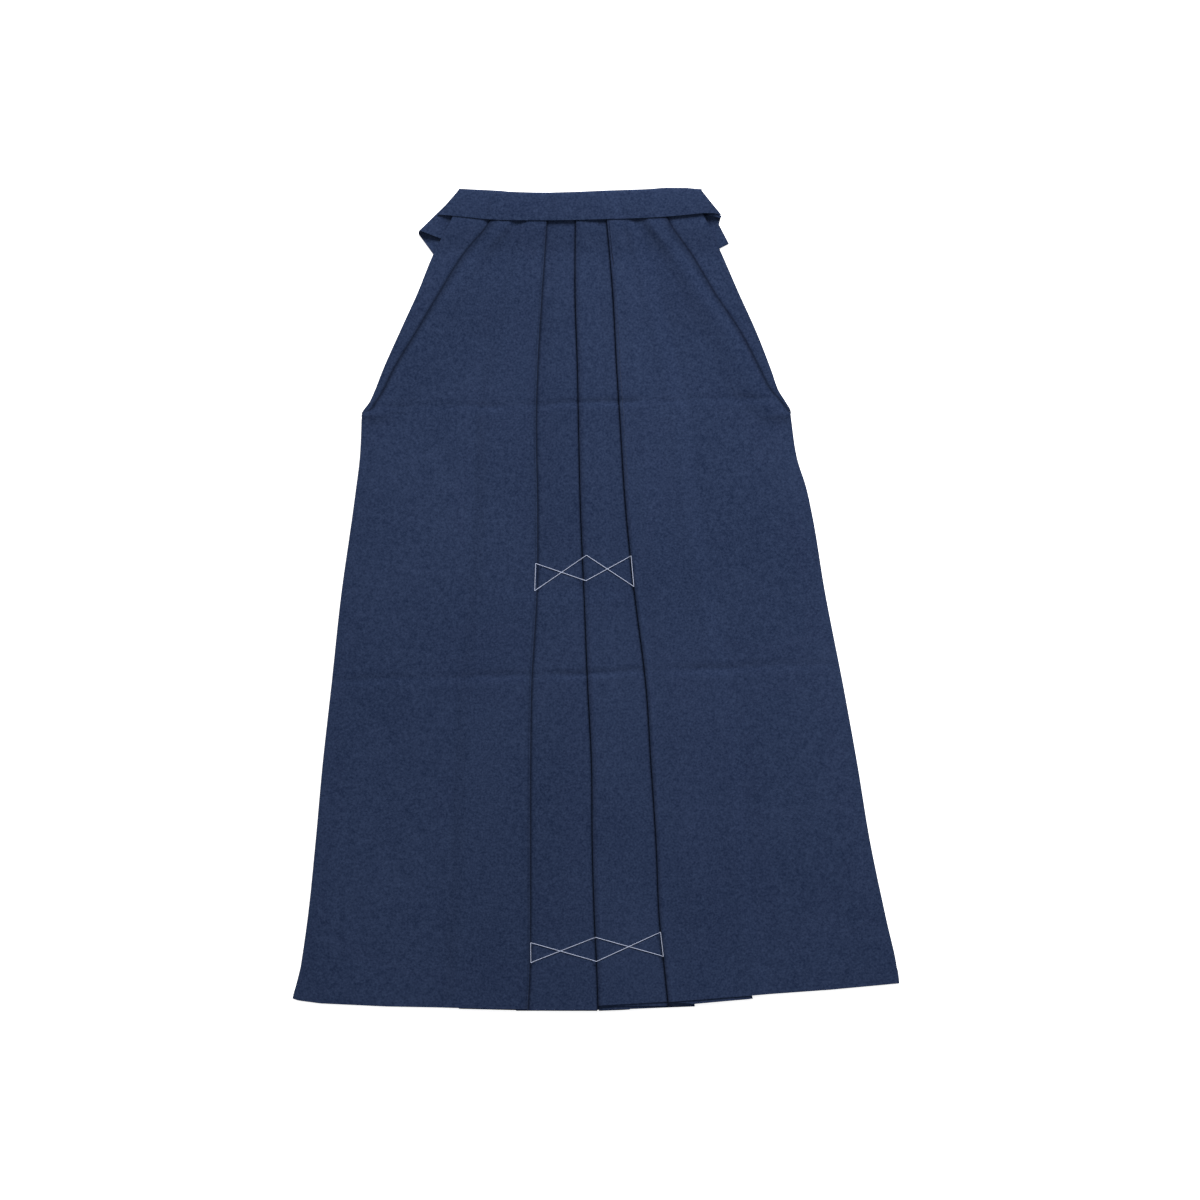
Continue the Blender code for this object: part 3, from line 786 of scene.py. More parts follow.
def height_of(level, x, y):
    """As stack_height, with the fronts' swell, which fades out at the backs."""
    return stack_height(level) + np.clip(level / SWELL_LEVEL, 0.0, 1.0) * swell(x, y)


def edge_puff(x, y, edge, facing):
    """Spring of a folded edge, which stands a little proud of the layers under it."""
    look = cloth_settings()
    near = np.maximum(0.0, facing * (edge - x))
    under_band = step(y, BAND_RAMP_FOOT, BAND_RAMP_FOOT - PUFF_FADE)
    uneven = 1.0 + PUFF_WAVE.height * np.sin(y / PUFF_WAVE.length + edge / PUFF_TURN)
    uneven = uneven + PUFF_RIPPLE.height * np.sin(y / PUFF_RIPPLE.length)
    return look.spring * uneven * under_band * np.exp(-(near / look.spring_reach) ** 2)


def bell(distance, reach):
    """1 at no distance, fading softly to nothing past the reach."""
    return np.exp(-(distance / reach) ** 2)


def pressed(x, y, lines):
    """Painted shade along the folded edges: 1 along every folded edge that shows."""
    shade = np.max([bell(x - lines[name], reach) for name, reach in SHADE_REACH.items()], axis=0)
    sides = np.maximum(bell(x - lines["left"], SIDE_SHADE_REACH),
                       bell(x - lines["right"], SIDE_SHADE_REACH))
    return np.maximum(shade, sides * step(y, OPENING_FOOT, PLEAT_FOOT + SHADE_FADE))


def edge_roll(x, y, lines):
    """Drop of a front's outer edge: over the fold of the side pleat, or to the side seam."""
    near = np.maximum(bell(x - lines["left"], RIM), bell(x - lines["right"], RIM))
    over_pleat = step(y, OPENING_FOOT, PLEAT_FOOT + ROLL_FADE)
    return near * (ROLL_BELOW + ROLL_ABOVE * over_pleat)


def spread(stops, cells):
    """Columns from stop to stop, with so many cells between each two."""
    columns = []
    for start, end, count in zip(stops, stops[1:], cells):
        columns += [start + (end - start) * part / count for part in range(count)]
    return np.hstack(columns + [stops[-1]])


# A layer: its first and last line, its level and hem, and the folded edge that springs.
Ply = namedtuple("Ply", "first last level hem edge facing", defaults=(None, 1.0))


def line_columns(lines, first, last):
    """Columns of one layer: the shared lines from one to another and the cells between."""
    names = [name for name, _ in LINE_CELLS]
    cells = dict(LINE_CELLS)
    start, end = names.index(first), names.index(last)
    low, high = min(start, end), max(start, end)
    columns = []
    for name, following in zip(names[low:high], names[low + 1:high + 1]):
        for part in range(cells[name]):
            share = part / cells[name]
            columns.append(lines[name] + share * (lines[following] - lines[name]))
    columns.append(lines[names[high]])
    x = np.hstack(columns)
    return x if start < end else x[:, ::-1]


def rows_to_hem(y, x, hem):
    """Height of every point; below HEM_EASE the rows run out to the layer's own hem."""
    rows = np.repeat(y[:, None], x.shape[1], axis=1)
    share = np.clip((HEM_EASE - rows) / (HEM_EASE - HEM_ROW), 0.0, 1.0)
    return np.where(share > 0.0, HEM_EASE + share * (hem[None, :] - HEM_EASE), rows)


def ply_points(ply, y):
    """Middle surface of one layer, and its painted shade, as four arrays of rows by columns."""
    lines = lattice(y)
    x = line_columns(lines, ply.first, ply.last)
    rows = rows_to_hem(y, x, straight(ply.hem, "y", x[-1]))
    z = height_of(ply.level(x, y[:, None], lines), x, rows) - edge_roll(x, rows, lines)
    if ply.edge:
        z = z + edge_puff(x, rows, lines[ply.edge], ply.facing)
    return x, rows, z, pressed(x, rows, lines)


def fold_between(over, under):
    """Points round the folded edge that joins the ends of two layers."""
    steps = bpy.context.scene.hakama_cloth.nose_steps
    wall = cloth_settings().wall
    (x0, y0, z0, shade), (x1, y1, z1, _) = over, under
    facing = np.sign(x0[:, -1:] - x0[:, -2:-1])
    radius = np.abs(z0[:, -1:] - z1[:, :1]) / 2.0
    middle = (z0[:, -1:] + z1[:, :1]) / 2.0
    half = (z0[:, -1:] - z1[:, :1]) / 2.0
    edge = x0[:, -1:]
    x0[:, -1:] = edge - facing * (radius + wall / 2.0)
    x1[:, :1] = edge - facing * (radius + wall / 2.0)
    centre = x0[:, -1:]
    x0[:, -2:-1] = np.where(facing * (x0[:, -1:] - x0[:, -2:-1]) < FOLD_CELL,
                            x0[:, -1:] - facing * FOLD_CELL, x0[:, -2:-1])
    x1[:, 1:2] = np.where(facing * (x1[:, :1] - x1[:, 1:2]) < FOLD_CELL,
                          x1[:, :1] - facing * FOLD_CELL, x1[:, 1:2])
    # The crest gets a little painted shade, and the turn darkens to full painted shade as it falls.
    falls = np.mean(half) > 0.0
    (shade if falls else under[3])[:, -1 if falls else 0] = CREST_SHADE
    points = []
    for turn in range(1, steps):
        angle = math.pi * turn / steps
        fallen = turn / steps if falls else 1.0 - turn / steps
        shade_here = np.full_like(centre, min(1.0, 2.0 * fallen))
        x = centre + facing * radius * math.sin(angle)
        z = middle + half * math.cos(angle)
        y = y0[:, -1:] + (y1[:, :1] - y0[:, -1:]) * turn / steps
        points.append((x, y, z, shade_here))
    return points


def folded_points(plies, y):
    """Points of one sheet folded into its layers, from the first ply to the last."""
    layers = [ply_points(ply, y) for ply in plies]
    return folded_layers(layers)


def folded_layers(layers):
    """Layers side by side in one grid, with the folded edge between each two."""
    parts = []
    for number, layer in enumerate(layers):
        if number:
            parts += fold_between(layers[number - 1], layer)
        parts.append(layer)
    return [np.hstack([part[axis] for part in parts]) for axis in range(4)]


def grid_mesh(name, x, y, z, shade=None):
    """A grid laid through rows of points, with the cloth's grain as its UV map."""
    rows, columns = x.shape
    shape = bmesh.new()
    shape.loops.layers.uv.new("grain")
    bmesh.ops.create_grid(shape, x_segments=columns - 1, y_segments=rows - 1, size=1.0,
                          calc_uvs=True)
    for line in shape.edges:
        line.smooth = not line.is_boundary
    mesh = bpy.data.meshes.new(name)
    shape.to_mesh(mesh)
    shape.free()
    flat = np.empty(len(mesh.vertices) * 3)
    mesh.vertices.foreach_get("co", flat)
    flat = flat.reshape(-1, 3)
    column = np.rint((flat[:, 0] + 1.0) / 2.0 * (columns - 1)).astype(int)
    row = np.rint((1.0 - flat[:, 1]) / 2.0 * (rows - 1)).astype(int)
    points = np.stack([x * SPREAD_X, y * SPREAD_Y, z], axis=-1) * MM
    mesh.vertices.foreach_set("co", points[row, column].ravel())
    across = np.linalg.norm(np.diff(points, axis=1), axis=2)
    down = np.linalg.norm(np.diff(points, axis=0), axis=2)
    middle = rows // 2
    u = np.concatenate([[0.0], np.cumsum(across[middle])])
    v = np.concatenate([[0.0], np.cumsum(down[:, columns // 2])])
    corner = np.empty(len(mesh.loops), dtype=int)
    mesh.loops.foreach_get("vertex_index", corner)
    uv = np.stack([u[column[corner]], v[row[corner]]], axis=-1)
    mesh.uv_layers["grain"].uv.foreach_set("vector", uv.ravel())
    # The painted shade along the folded edges goes with the mesh as a point attribute.
    shade = np.zeros_like(x) if shade is None else shade
    painted_shading = mesh.attributes.new("pressed", "FLOAT", "POINT")
    painted_shading.data.foreach_set("value", shade[row, column])
    mesh.update()
    return mesh


def add_object(name, data):
    """An object of its own for a mesh, curve, light or camera."""
    made = bpy.data.objects.new(name, data)
    bpy.context.scene.collection.objects.link(made)
    return made


def cloth_piece(name, points):
    """A finished piece of cloth on its solid's form, given the cloth's wall and put in its solid's
    place.
    """
    mesh = grid_mesh(name, *points)
    piece = add_object(name + "_cloth", mesh)
    mesh.polygons.foreach_set("use_smooth", [True] * len(mesh.polygons))
    wall = piece.modifiers.new("wall", "SOLIDIFY")
    wall.thickness = MM * cloth_settings().wall
    wall.offset = 0.0
    wall.use_even_offset = False
    wall.use_quality_normals = True
    mesh.materials.append(cloth_material())
    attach(piece, "root")
    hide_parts(name)
    return piece


def new_material(name, finish):
    """A material, its node tree and its shader, with some of the shader's inputs set."""
    material = bpy.data.materials.new(name)
    material.use_nodes = True
    shader = material.node_tree.nodes["Principled BSDF"]
    for socket, value in finish.items():
        shader.inputs[socket].default_value = value
    return material, material.node_tree, shader


def add_noise(tree, vector, scale, detail):
    """A noise texture read at a place."""
    noise = tree.nodes.new("ShaderNodeTexNoise")
    noise.inputs["Scale"].default_value = scale
    noise.inputs["Detail"].default_value = detail
    noise.inputs["Roughness"].default_value = NOISE_ROUGHNESS
    tree.links.new(vector, noise.inputs["Vector"])
    return noise.outputs["Fac"]


def add_math(tree, operation, first, second):
    """A maths node on two values, each a socket or a number."""
    node = tree.nodes.new("ShaderNodeMath")
    node.operation = operation
    for socket, value in zip(node.inputs, (first, second)):
        if isinstance(value, (int, float)):
            socket.default_value = value
        else:
            tree.links.new(value, socket)
    return node.outputs[0]


def add_mix(tree, factor, first, second):
    """A colour mixed from two, each a socket or a plain colour."""
    node = tree.nodes.new("ShaderNodeMix")
    node.data_type = "RGBA"
    tree.links.new(factor, node.inputs["Factor"])
    colours = [socket for socket in node.inputs if socket.type == "RGBA"]
    for socket, value in zip(colours, (first, second)):
        if hasattr(value, "is_output"):
            tree.links.new(value, socket)
        else:
            socket.default_value = (*value, 1.0)
    return [socket for socket in node.outputs if socket.type == "RGBA"][0]


def cloth_material():
    """Matte navy cloth: a fine plain weave, uneven dye, a little nap and painted shade along the
    folded edges.
    """
    name = "navy_weave"
    if name in bpy.data.materials:
        return bpy.data.materials[name]
    look = bpy.context.scene.hakama_colour
    material, tree, shader = new_material(name, {
        "Roughness": look.roughness,
        "Sheen Weight": look.sheen,
        "Sheen Roughness": SHEEN_ROUGHNESS,
        "Specular IOR Level": CLOTH_GLOSS,
    })
    place = tree.nodes.new("ShaderNodeTexCoord").outputs["Object"]
    grain = tree.nodes.new("ShaderNodeUVMap")
    grain.uv_map = "grain"
    axes = tree.nodes.new("ShaderNodeSeparateXYZ")
    tree.links.new(grain.outputs["UV"], axes.inputs["Vector"])
    turns = 2.0 * math.pi / look.thread_pitch
    warp, weft = (add_math(tree, "SINE", add_math(tree, "MULTIPLY", axes.outputs[axis], turns), 0.0)
                  for axis in "XY")
    weave = add_math(tree, "MULTIPLY", warp, weft)
    tone = 0.5
    for mottle in MOTTLE:
        noise = add_noise(tree, place, mottle.scale, mottle.detail)
        swing = add_math(tree, "SUBTRACT", noise, 0.5)
        tone = add_math(tree, "ADD", add_math(tree, "MULTIPLY", swing, mottle.strength), tone)
    colour = add_mix(tree, tone, look.navy_deep, look.navy_light)
    # Painted shade: the colour is darkened towards the crevice colour along the folded edges.
    painted_shading = tree.nodes.new("ShaderNodeAttribute")
    painted_shading.attribute_name = "pressed"
    painted_shading = add_math(tree, "MULTIPLY", painted_shading.outputs["Fac"], look.painted_shading)
    colour = add_mix(tree, painted_shading, colour, look.crevice_shade)
    tree.links.new(colour, shader.inputs["Base Color"])
    nap = add_noise(tree, place, NAP.scale, NAP.detail)
    relief = add_math(tree, "ADD", add_math(tree, "MULTIPLY", weave, WEAVE_RELIEF), nap)
    bump = tree.nodes.new("ShaderNodeBump")
    bump.inputs["Strength"].default_value = BUMP_STRENGTH
    bump.inputs["Distance"].default_value = BUMP_DEPTH
    tree.links.new(relief, bump.inputs["Height"])
    tree.links.new(bump.outputs["Normal"], shader.inputs["Normal"])
    return material


def thread_material():
    """Pale cotton basting thread, with flecks in its colour."""
    look = bpy.context.scene.hakama_colour
    material, tree, shader = new_material("basting_cotton", {
        "Roughness": THREAD_ROUGHNESS,
        "Sheen Weight": THREAD_SHEEN,
    })
    place = tree.nodes.new("ShaderNodeTexCoord").outputs["Object"]
    fleck = tree.nodes.new("ShaderNodeMapRange")
    fleck.inputs["From Min"].default_value = FLECK_LOW
    fleck.inputs["From Max"].default_value = FLECK_HIGH
    tree.links.new(add_noise(tree, place, FLECK.scale, FLECK.detail), fleck.inputs["Value"])
    dark = [(1.0 - FLECK.strength) * value for value in look.thread]
    colour = add_mix(tree, fleck.outputs["Result"], dark, look.thread)
    tree.links.new(colour, shader.inputs["Base Color"])
    return material


class HAKAMA_OT_backs(bpy.types.Operator):
    """Make the two backs, lapped at the centre back, and the gussets on them"""
    bl_idname = "hakama.backs"
    bl_label = "Backs and gussets"

    def execute(self, context):
        self.make_back("back_right", "left", 1.0, back_right_level, (), BACK_CELLS)
        self.make_back("back_left", "right", -1.0, back_left_level,
                       ("gusset_right", "lap_right"), LAPPED_BACK_CELLS)
        self.make_gusset("gusset_right", "gusset_left", "pleat_centre", CLEAR, -GUSSET_INSET)
        self.make_gusset("gusset_left", "pleat_centre", "gusset_right", GUSSET_INSET, -CLEAR)
        return {"FINISHED"}

    def make_back(self, name, side, facing, level, lap_lines, cells):
        """One back, from the garment's side in to its edge past the centre."""
        y = garment_rows(BACK_TOP)
        lines = lattice(y)
        outer = np.where(y > BACK_SIDE_FOOT, straight(BACK_SIDES, side, y),
                         read(SKIRT, side, y))
        outer = outer + facing * BACK_INSET * step(y, BACK_INSET_TOP, BACK_INSET_FOOT)
        inner = straight(CENTRE_BACK, "back", y) + facing * LAP
        stops = [outer[:, None]] + [lines[line] for line in lap_lines] + [inner[:, None]]
        x = spread(stops, cells)
        rows = rows_to_hem(y, x, straight(OUTER_HEM, "y", x[-1]) + BACK_HEM_SHORT)
        z = stack_height(level(x, y[:, None], lines))
        cloth_piece(name, (x, rows, z))

    def make_gusset(self, name, first, last, shift_first, shift_last):
        """One gusset, between two of the shared lines, its long edges shifted a little."""
        x, y, z, _ = ply_points(Ply(first, last, gusset_level, GUSSET_HEM), garment_rows(CROTCH))
        x[:, 0] += shift_first
        x[:, -1] += shift_last
        cloth_piece(name, (x, y, z))


class HAKAMA_OT_fronts(bpy.types.Operator):
    """Make the two fronts, each one sheet folded into its pleats"""
    bl_idname = "hakama.fronts"
    bl_label = "Fronts"

    def execute(self, context):
        y = garment_rows(FRONT_TOP)
        right = (
            Ply("left", "pleat_left", right_outer_level, OUTER_HEM, "pleat_left", 1.0),
            Ply("pleat_left", "hidden_left", right_pleat_level, MIDDLE_HEM),
            Ply("hidden_left", "hidden_centre", base_level, MIDDLE_HEM),
        )
        left = (
            Ply("hidden_centre", "pleat_centre", right_pleat_level, CENTRE_PLEAT_HEM),
            Ply("pleat_centre", "hidden_right", left_middle_level, MIDDLE_LEFT_HEM,
                "pleat_centre", -1.0),
            Ply("hidden_right", "pleat_right", left_pleat_level, RIGHT_PLEAT_HEM),
            Ply("pleat_right", "right", left_outer_level, OUTER_HEM, "pleat_right", -1.0),
        )
        cloth_piece("front_right", folded_points(right, y))
        cloth_piece("front_left", folded_points(left, y))
        return {"FINISHED"}


class HAKAMA_OT_side_pleats(bpy.types.Operator):
    """Make the side pleats, which run in behind the fronts and back out past them"""
    bl_idname = "hakama.side_pleats"
    bl_label = "Side pleats"

    def execute(self, context):
        self.make_side("side_pleat_right", "left", "left_edge", "side_left", 1.0)
        self.make_side("side_pleat_left", "right", "right_edge", "side_right", -1.0)
        return {"FINISHED"}

    def make_side(self, name, fold, side_edge, inner, facing):
        """One side pleat: in from its seam under the front, and back out past its edge."""
        y = garment_rows(FRONT_TOP, PLEAT_FOOT)
        lines = lattice(y)
        edge = lines[fold]
        level = base_level(edge, y[:, None], lines)
        seam = edge + facing * SIDE_SEAM
        turn = np.where(facing * (lines[inner] - seam) > SIDE_TURN, lines[inner],
                        seam + facing * SIDE_TURN)
        outer = read(SIDES, side_edge, y)[:, None]
        shown = np.abs(edge - outer)
        beside = edge - facing * np.minimum(BESIDE, BESIDE_SHARE * shown)
        beyond = edge - facing * np.minimum(BEYOND, BEYOND_SHARE * shown)
        over = spread((seam, turn), SIDE_OVER_CELLS)
        under = spread((turn, edge + facing * RIM, edge, beside, beyond, outer),
                       SIDE_UNDER_CELLS)
        layers = []
        for x, lift in ((over, 1.0), (under, 0.0)):
            rows = np.repeat(y[:, None], x.shape[1], axis=1)
            z = stack_height(level + lift) + swell(x, rows)
            # Painted shade along the front's folded edge over the side pleat.
            shade = bell(x - edge, SIDE_SHADE_REACH)
            shade = shade * step(rows, OPENING_FOOT, PLEAT_FOOT + SHADE_FADE)
            layers.append((x, rows, z, shade))
        cloth_piece(name, folded_layers(layers))


def line_at(name, y):
    """Where one of the shared lines lies at one height."""
    return float(lattice(np.array([y]))[name][0, 0])


Station = namedtuple("Station", "x_lower x_upper lower upper inner_z outer_z")


def band_sections(stations, crown):
    """Rows of points round a strip folded over an edge, from stations along its length."""
    wall = cloth_settings().wall
    rows = []
    for at in fill_between(stations):
        half = max(BAND_HALF, (at.outer_z - at.inner_z) / 2.0)
        middle = (at.outer_z + at.inner_z) / 2.0
        reach = min(half, TURN_REACH)
        crest = at.upper - wall / 2.0 - reach
        inside = at.lower + BAND_INSIDE_SHORT
        section = []
        for cell in range(BAND_OUTER_CELLS + 1):
            share = cell / BAND_OUTER_CELLS
            raised = crown * math.sin(math.pi * share) ** CROWN_POWER
            section.append((at.x_lower + (at.x_upper - at.x_lower) * share,
                            at.lower + (crest - at.lower) * share, at.outer_z + raised))
        for cell in range(1, BAND_TURN_CELLS):
            angle = math.pi * cell / BAND_TURN_CELLS
            section.append((at.x_upper, crest + reach * math.sin(angle),
                            middle + half * math.cos(angle)))
        for cell in range(BAND_INNER_CELLS + 1):
            share = 1.0 - cell / BAND_INNER_CELLS
            section.append((at.x_lower + (at.x_upper - at.x_lower) * share,
                            inside + (crest - inside) * share, at.inner_z))
        rows.append(section)
    grid = np.array(rows)
    return grid[:, :, 0].T, grid[:, :, 1].T, grid[:, :, 2].T


def fill_between(stations):
    """Stations added along a band so that none lie far apart."""
    filled = []
    for start, end in zip(stations, stations[1:]):
        count = max(1, math.ceil(abs(end[0] - start[0]) / STRIP_SPACING))
        for part in range(count):
            share = part / count
            ease = share * share * (3.0 - 2.0 * share)
            plain = [a + (b - a) * share for a, b in zip(start[:4], end[:4])]
            raised = [a + (b - a) * ease for a, b in zip(start[4:], end[4:])]
            filled.append(Station(*plain, *raised))
    return filled + [stations[-1]]


class HAKAMA_OT_bands(bpy.types.Operator):
    """Make the front and back waistbands, folded over the top edges"""
    bl_idname = "hakama.bands"
    bl_label = "Waistbands"

    def execute(self, context):
        self.make_front()
        self.make_back()
        return {"FINISHED"}

    def station(self, x_lower, x_upper, lower, upper, over):
        """The front band's section at one place, so many layers above the lowest front."""
        base = float(base_level(np.array([[x_lower]]), BAND_FOOT, lattice(np.array([lower])))[0, 0])
        rise = float(swell(np.array([[x_lower]]), np.array([[lower]]))[0, 0])
        return Station(x_lower, x_upper, lower, upper, stack_height(base - 1.0) + rise,
                       stack_height(base + over) + rise)

    def end_station(self, x_lower, x_upper, over):
        """The same where the band runs on past the fronts, folded behind on a slant."""
        lower = float(read(FRONT_BAND, "lower", x_lower))
        upper = float(read(FRONT_BAND, "upper", x_upper))
        return self.station(x_lower, x_upper, lower, upper, over)

    def make_front(self):
        """The front band, which climbs over the edges of the folded fronts."""
        stations = [self.end_station(*ends, over)
                    for ends, over in zip(BAND_LEFT_END, BAND_LEFT_OVER)]
        for line, shift, layers in FRONT_BAND_OVER:
            near = line_at(line, BAND_FOOT) + shift
            lower = float(read(FRONT_BAND, "lower", near))
            upper = float(read(FRONT_BAND, "upper", near))
            x_lower, x_upper = line_at(line, lower) + shift, line_at(line, upper) + shift
            stations.append(self.station(x_lower, x_upper, lower, upper, layers))
        stations += [self.end_station(*ends, BAND_RIGHT_OVER) for ends in BAND_RIGHT_END]
        cloth_piece("waistband_front", band_sections(stations, BAND_CROWN))

    def make_back(self):
        """The back band, folded over the top edges of the backs, under the whole pile."""
        ends = [(BACK_BAND_LEFT, BACK_BAND_LEFT + BACK_BAND_SLANT),
                (BACK_BAND_RIGHT, BACK_BAND_RIGHT - BACK_BAND_SLANT)]
        ends[1:1] = [(line_at(line, BACK_BAND_LOWER), line_at(line, BACK_BAND_UPPER))
                     for line in BACK_BAND_LINES]
        lines = lattice(np.array([BACK_BAND_LOWER]))
        stations = []
        for x_lower, x_upper in ends:
            layers = BACK_BAND_LAYERS + float(lap_cover(np.array([[x_lower]]), lines)[0, 0])
            stations.append(Station(x_lower, x_upper, BACK_BAND_LOWER, BACK_BAND_UPPER,
                                    stack_height(layers), stack_height(0.0)))
        cloth_piece("waistband_back", band_sections(stations, 0.0))


def strap_run(stations):
    """Rows along one flat run of a strap, each its upper and its lower edge."""
    upper = [np.array(station[:3]) for station in stations]
    lower = [np.array(station[3:]) for station in stations]
    rows = []
    for number in range(len(stations) - 1):
        run = np.linalg.norm(lower[number + 1] - lower[number])
        count = max(2, math.ceil(run / STRIP_SPACING))
        for part in range(count):
            share = part / count
            rows.append([edge[number] * (1 - share) + edge[number + 1] * share
                         for edge in (upper, lower)])
    return rows + [[upper[-1], lower[-1]]]


def strap_rows(over, under, out):
    """Rows along a folded strap, with a round turn at its fold; out is the fold's facing."""
    rows = strap_run(over)
    if not under:
        return rows
    below = strap_run(under)
    ends = list(zip(rows[-1], below[0]))
    facing = np.array([*out, 0.0]) / math.hypot(*out)
    for turn in range(1, TIE_TURN_CELLS):
        angle = math.pi * turn / TIE_TURN_CELLS
        lean = (1.0 - math.cos(angle)) / 2.0
        swing = math.sin(angle)
        rows.append([top * (1 - lean) + foot * lean
                     + facing * swing * min(abs(top[2] - foot[2]) / 2.0, TURN_REACH)
                     for top, foot in ends])
    return rows + below


class HAKAMA_OT_ties(bpy.types.Operator):
    """Make the stretches of folded tie that show beside the band"""
    bl_idname = "hakama.ties"
    bl_label = "Ties"

    def execute(self, context):
        for name, (over, under, out) in TIES.items():
            self.make_tie(name, strap_rows(over, under, out))
        return {"FINISHED"}

    def make_tie(self, name, rows):
        """One tie, filled in across from its upper edge to its lower one."""
        shares = [cell / TIE_CELLS for cell in range(TIE_CELLS + 1)]
        grid = np.array([[upper * (1 - share) + lower * share for share in shares]
                         for upper, lower in rows])
        cloth_piece(name, (grid[:, :, 0], grid[:, :, 1], grid[:, :, 2]))


def top_height(x, y):
    """Height of the cloth's upper face at one point of the pleated middle."""
    lines = lattice(np.array([y]))
    spot = np.array([[x]])
    row = np.array([[y]])
    level, edge, facing = base_level, None, 1.0
    if x < lines["pleat_left"][0, 0]:
        level, edge = right_outer_level, "pleat_left"
    elif x >= lines["pleat_right"][0, 0]:
        level, edge, facing = left_outer_level, "pleat_right", -1.0
    elif x >= lines["pleat_centre"][0, 0]:
        level, edge, facing = left_middle_level, "pleat_centre", -1.0
    height = float(height_of(level(spot, row, lines), spot, row)[0, 0])
    if edge:
        height += float(edge_puff(spot, row, lines[edge], facing)[0, 0])
    return height + cloth_settings().wall / 2.0


class HAKAMA_OT_basting(bpy.types.Operator):
    """Make the basting threads that hold the pleat edges together"""
    bl_idname = "hakama.basting"
    bl_label = "Basting"

    def execute(self, context):
        material = thread_material()
        for number, corners in enumerate(BASTING):
            for start, end in BASTING_RUNS:
                name = "basting_%d_%s_%s" % (number + 1, start, end)
                self.make_run(name, getattr(corners, start), getattr(corners, end), material)
        return {"FINISHED"}

    def make_run(self, name, start, end, material):
        """One straight run of thread, lying on whatever is highest beside it."""
        curve = bpy.data.curves.new(name, "CURVE")
        curve.dimensions = "3D"
        curve.bevel_depth = MM * THREAD_RADIUS
        curve.bevel_resolution = 2
        curve.use_fill_caps = True
        spline = curve.splines.new("POLY")
        spline.points.add(THREAD_CELLS)
        for number, point in enumerate(spline.points):
            share = number / THREAD_CELLS
            x = start[0] + (end[0] - start[0]) * share
            y = start[1] + (end[1] - start[1]) * share
            bow = THREAD_BOW * math.sin(math.pi * share)
            rest = max(top_height(x + THREAD_BRIDGE * reach, y)
                       for reach in (-1.0, -0.5, 0.0, 0.5, 1.0))
            z = rest + THREAD_RADIUS * THREAD_SEAT + bow
            point.co = (MM * SPREAD_X * x, MM * SPREAD_Y * y, MM * z, 1.0)
        thread = add_object(name, curve)
        curve.materials.append(material)
        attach(thread, "root")


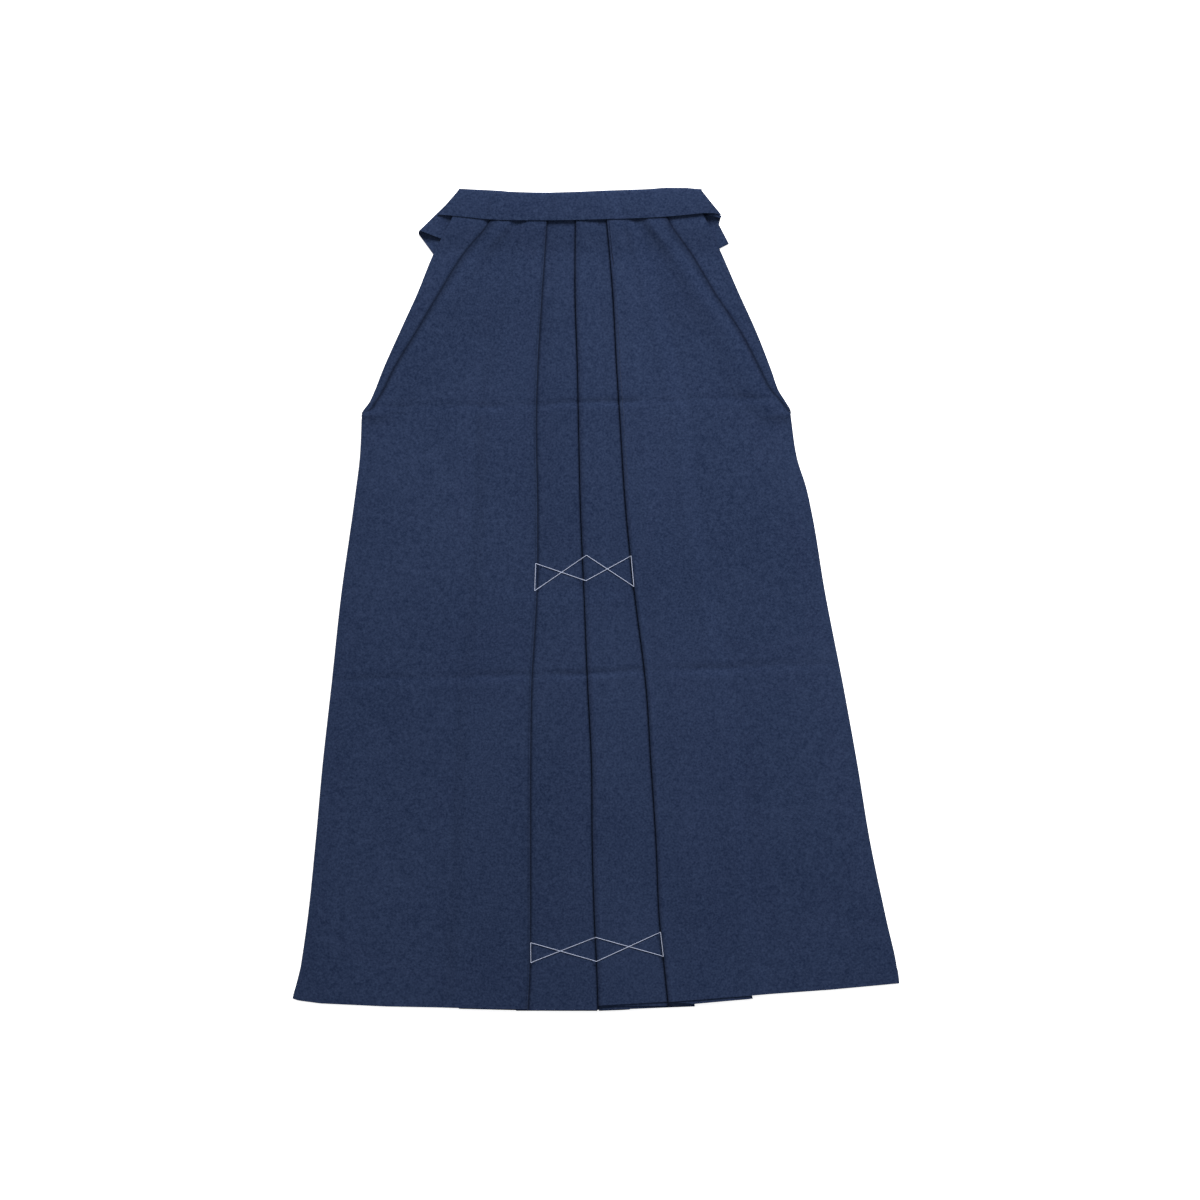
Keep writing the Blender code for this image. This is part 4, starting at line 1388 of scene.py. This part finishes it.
class HAKAMA_OT_stage(bpy.types.Operator):
    """Make the pale floor, the soft light and the camera straight above"""
    bl_idname = "hakama.stage"
    bl_label = "Stage"

    def execute(self, context):
        look = context.scene.hakama_stage
        self.make_floor(look)
        self.make_room()
        self.make_key_light()
        self.make_camera(look)
        context.scene.view_settings.view_transform = "Standard"
        return {"FINISHED"}

    def make_floor(self, look):
        """A pale floor just under the cloth."""
        mesh = bpy.data.meshes.new("floor")
        shape = bmesh.new()
        bmesh.ops.create_grid(shape, x_segments=2, y_segments=2, size=FLOOR_REACH)
        bmesh.ops.translate(shape, verts=shape.verts, vec=(0.0, 0.0, CAD_LOW[2] - FLOOR_DROP))
        shape.to_mesh(mesh)
        shape.free()
        floor = add_object("floor", mesh)
        mesh.materials.append(new_material("pale_floor", {
            "Base Color": (*look.floor, 1.0),
            "Roughness": FLOOR_ROUGHNESS,
            "Specular IOR Level": FLOOR_GLOSS,
            "Emission Color": WHITE,
            "Emission Strength": look.table_glow,
        })[0])
        floor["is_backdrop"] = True

    def make_room(self):
        """Even white light from all round."""
        world = bpy.data.worlds.new("soft_room")
        world.use_nodes = True
        backdrop = world.node_tree.nodes["Background"]
        backdrop.inputs["Color"].default_value = WHITE
        backdrop.inputs["Strength"].default_value = ROOM_LIGHT
        bpy.context.scene.world = world

    def make_key_light(self):
        """One large lamp past the waist, turned to the middle of the cloth."""
        light = bpy.data.lights.new("key", "AREA")
        light.size = KEY_SIZE
        light.energy = KEY_POWER
        lamp = add_object("key", light)
        lamp.location = KEY_PLACE
        lamp.rotation_euler = (-lamp.location).to_track_quat("-Z", "Y").to_euler()

    def make_camera(self, look):
        """The camera, straight above."""
        view = bpy.data.cameras.new("camera")
        view.sensor_width = SENSOR_WIDTH
        view.lens = SENSOR_WIDTH * look.camera_height / look.frame_width
        view.clip_end = CAMERA_REACH
        camera = add_object("camera", view)
        camera.location = (CAMERA_X, CAMERA_Y, look.camera_height)
        bpy.context.scene.camera = camera


class HAKAMA_PT_panel(bpy.types.Panel):
    """Sizes, colours and makers of the hakama"""
    bl_idname = "HAKAMA_PT_panel"
    bl_label = "Hakama laid flat"
    bl_space_type = "VIEW_3D"
    bl_region_type = "UI"
    bl_category = "Hakama"

    def draw(self, context):
        for kind in GROUPS:
            group = getattr(context.scene, GROUPS[kind])
            box = self.layout.box()
            for name in kind.__annotations__:
                box.prop(group, name)
        for operator in OPERATORS:
            self.layout.operator(operator.bl_idname)


GROUPS = {HakamaCloth: "hakama_cloth", HakamaColour: "hakama_colour",
          HakamaStage: "hakama_stage"}
OPERATORS = (HAKAMA_OT_backs, HAKAMA_OT_fronts, HAKAMA_OT_side_pleats, HAKAMA_OT_bands,
             HAKAMA_OT_ties, HAKAMA_OT_basting, HAKAMA_OT_stage)
CLASSES = (*GROUPS, *OPERATORS, HAKAMA_PT_panel)


def register():
    """Make the settings, the operators and the panel known."""
    for part in CLASSES:
        bpy.utils.register_class(part)
    for group, place in GROUPS.items():
        setattr(bpy.types.Scene, place, PointerProperty(type=group))


def unregister():
    """Take them away again."""
    for place in GROUPS.values():
        delattr(bpy.types.Scene, place)
    for part in reversed(CLASSES):
        bpy.utils.unregister_class(part)


def main():
    """Make every piece."""
    register()
    bpy.ops.hakama.stage()
    bpy.ops.hakama.backs()
    bpy.ops.hakama.fronts()
    bpy.ops.hakama.side_pleats()
    bpy.ops.hakama.bands()
    bpy.ops.hakama.ties()
    bpy.ops.hakama.basting()


if __name__ == "__main__":
    main()
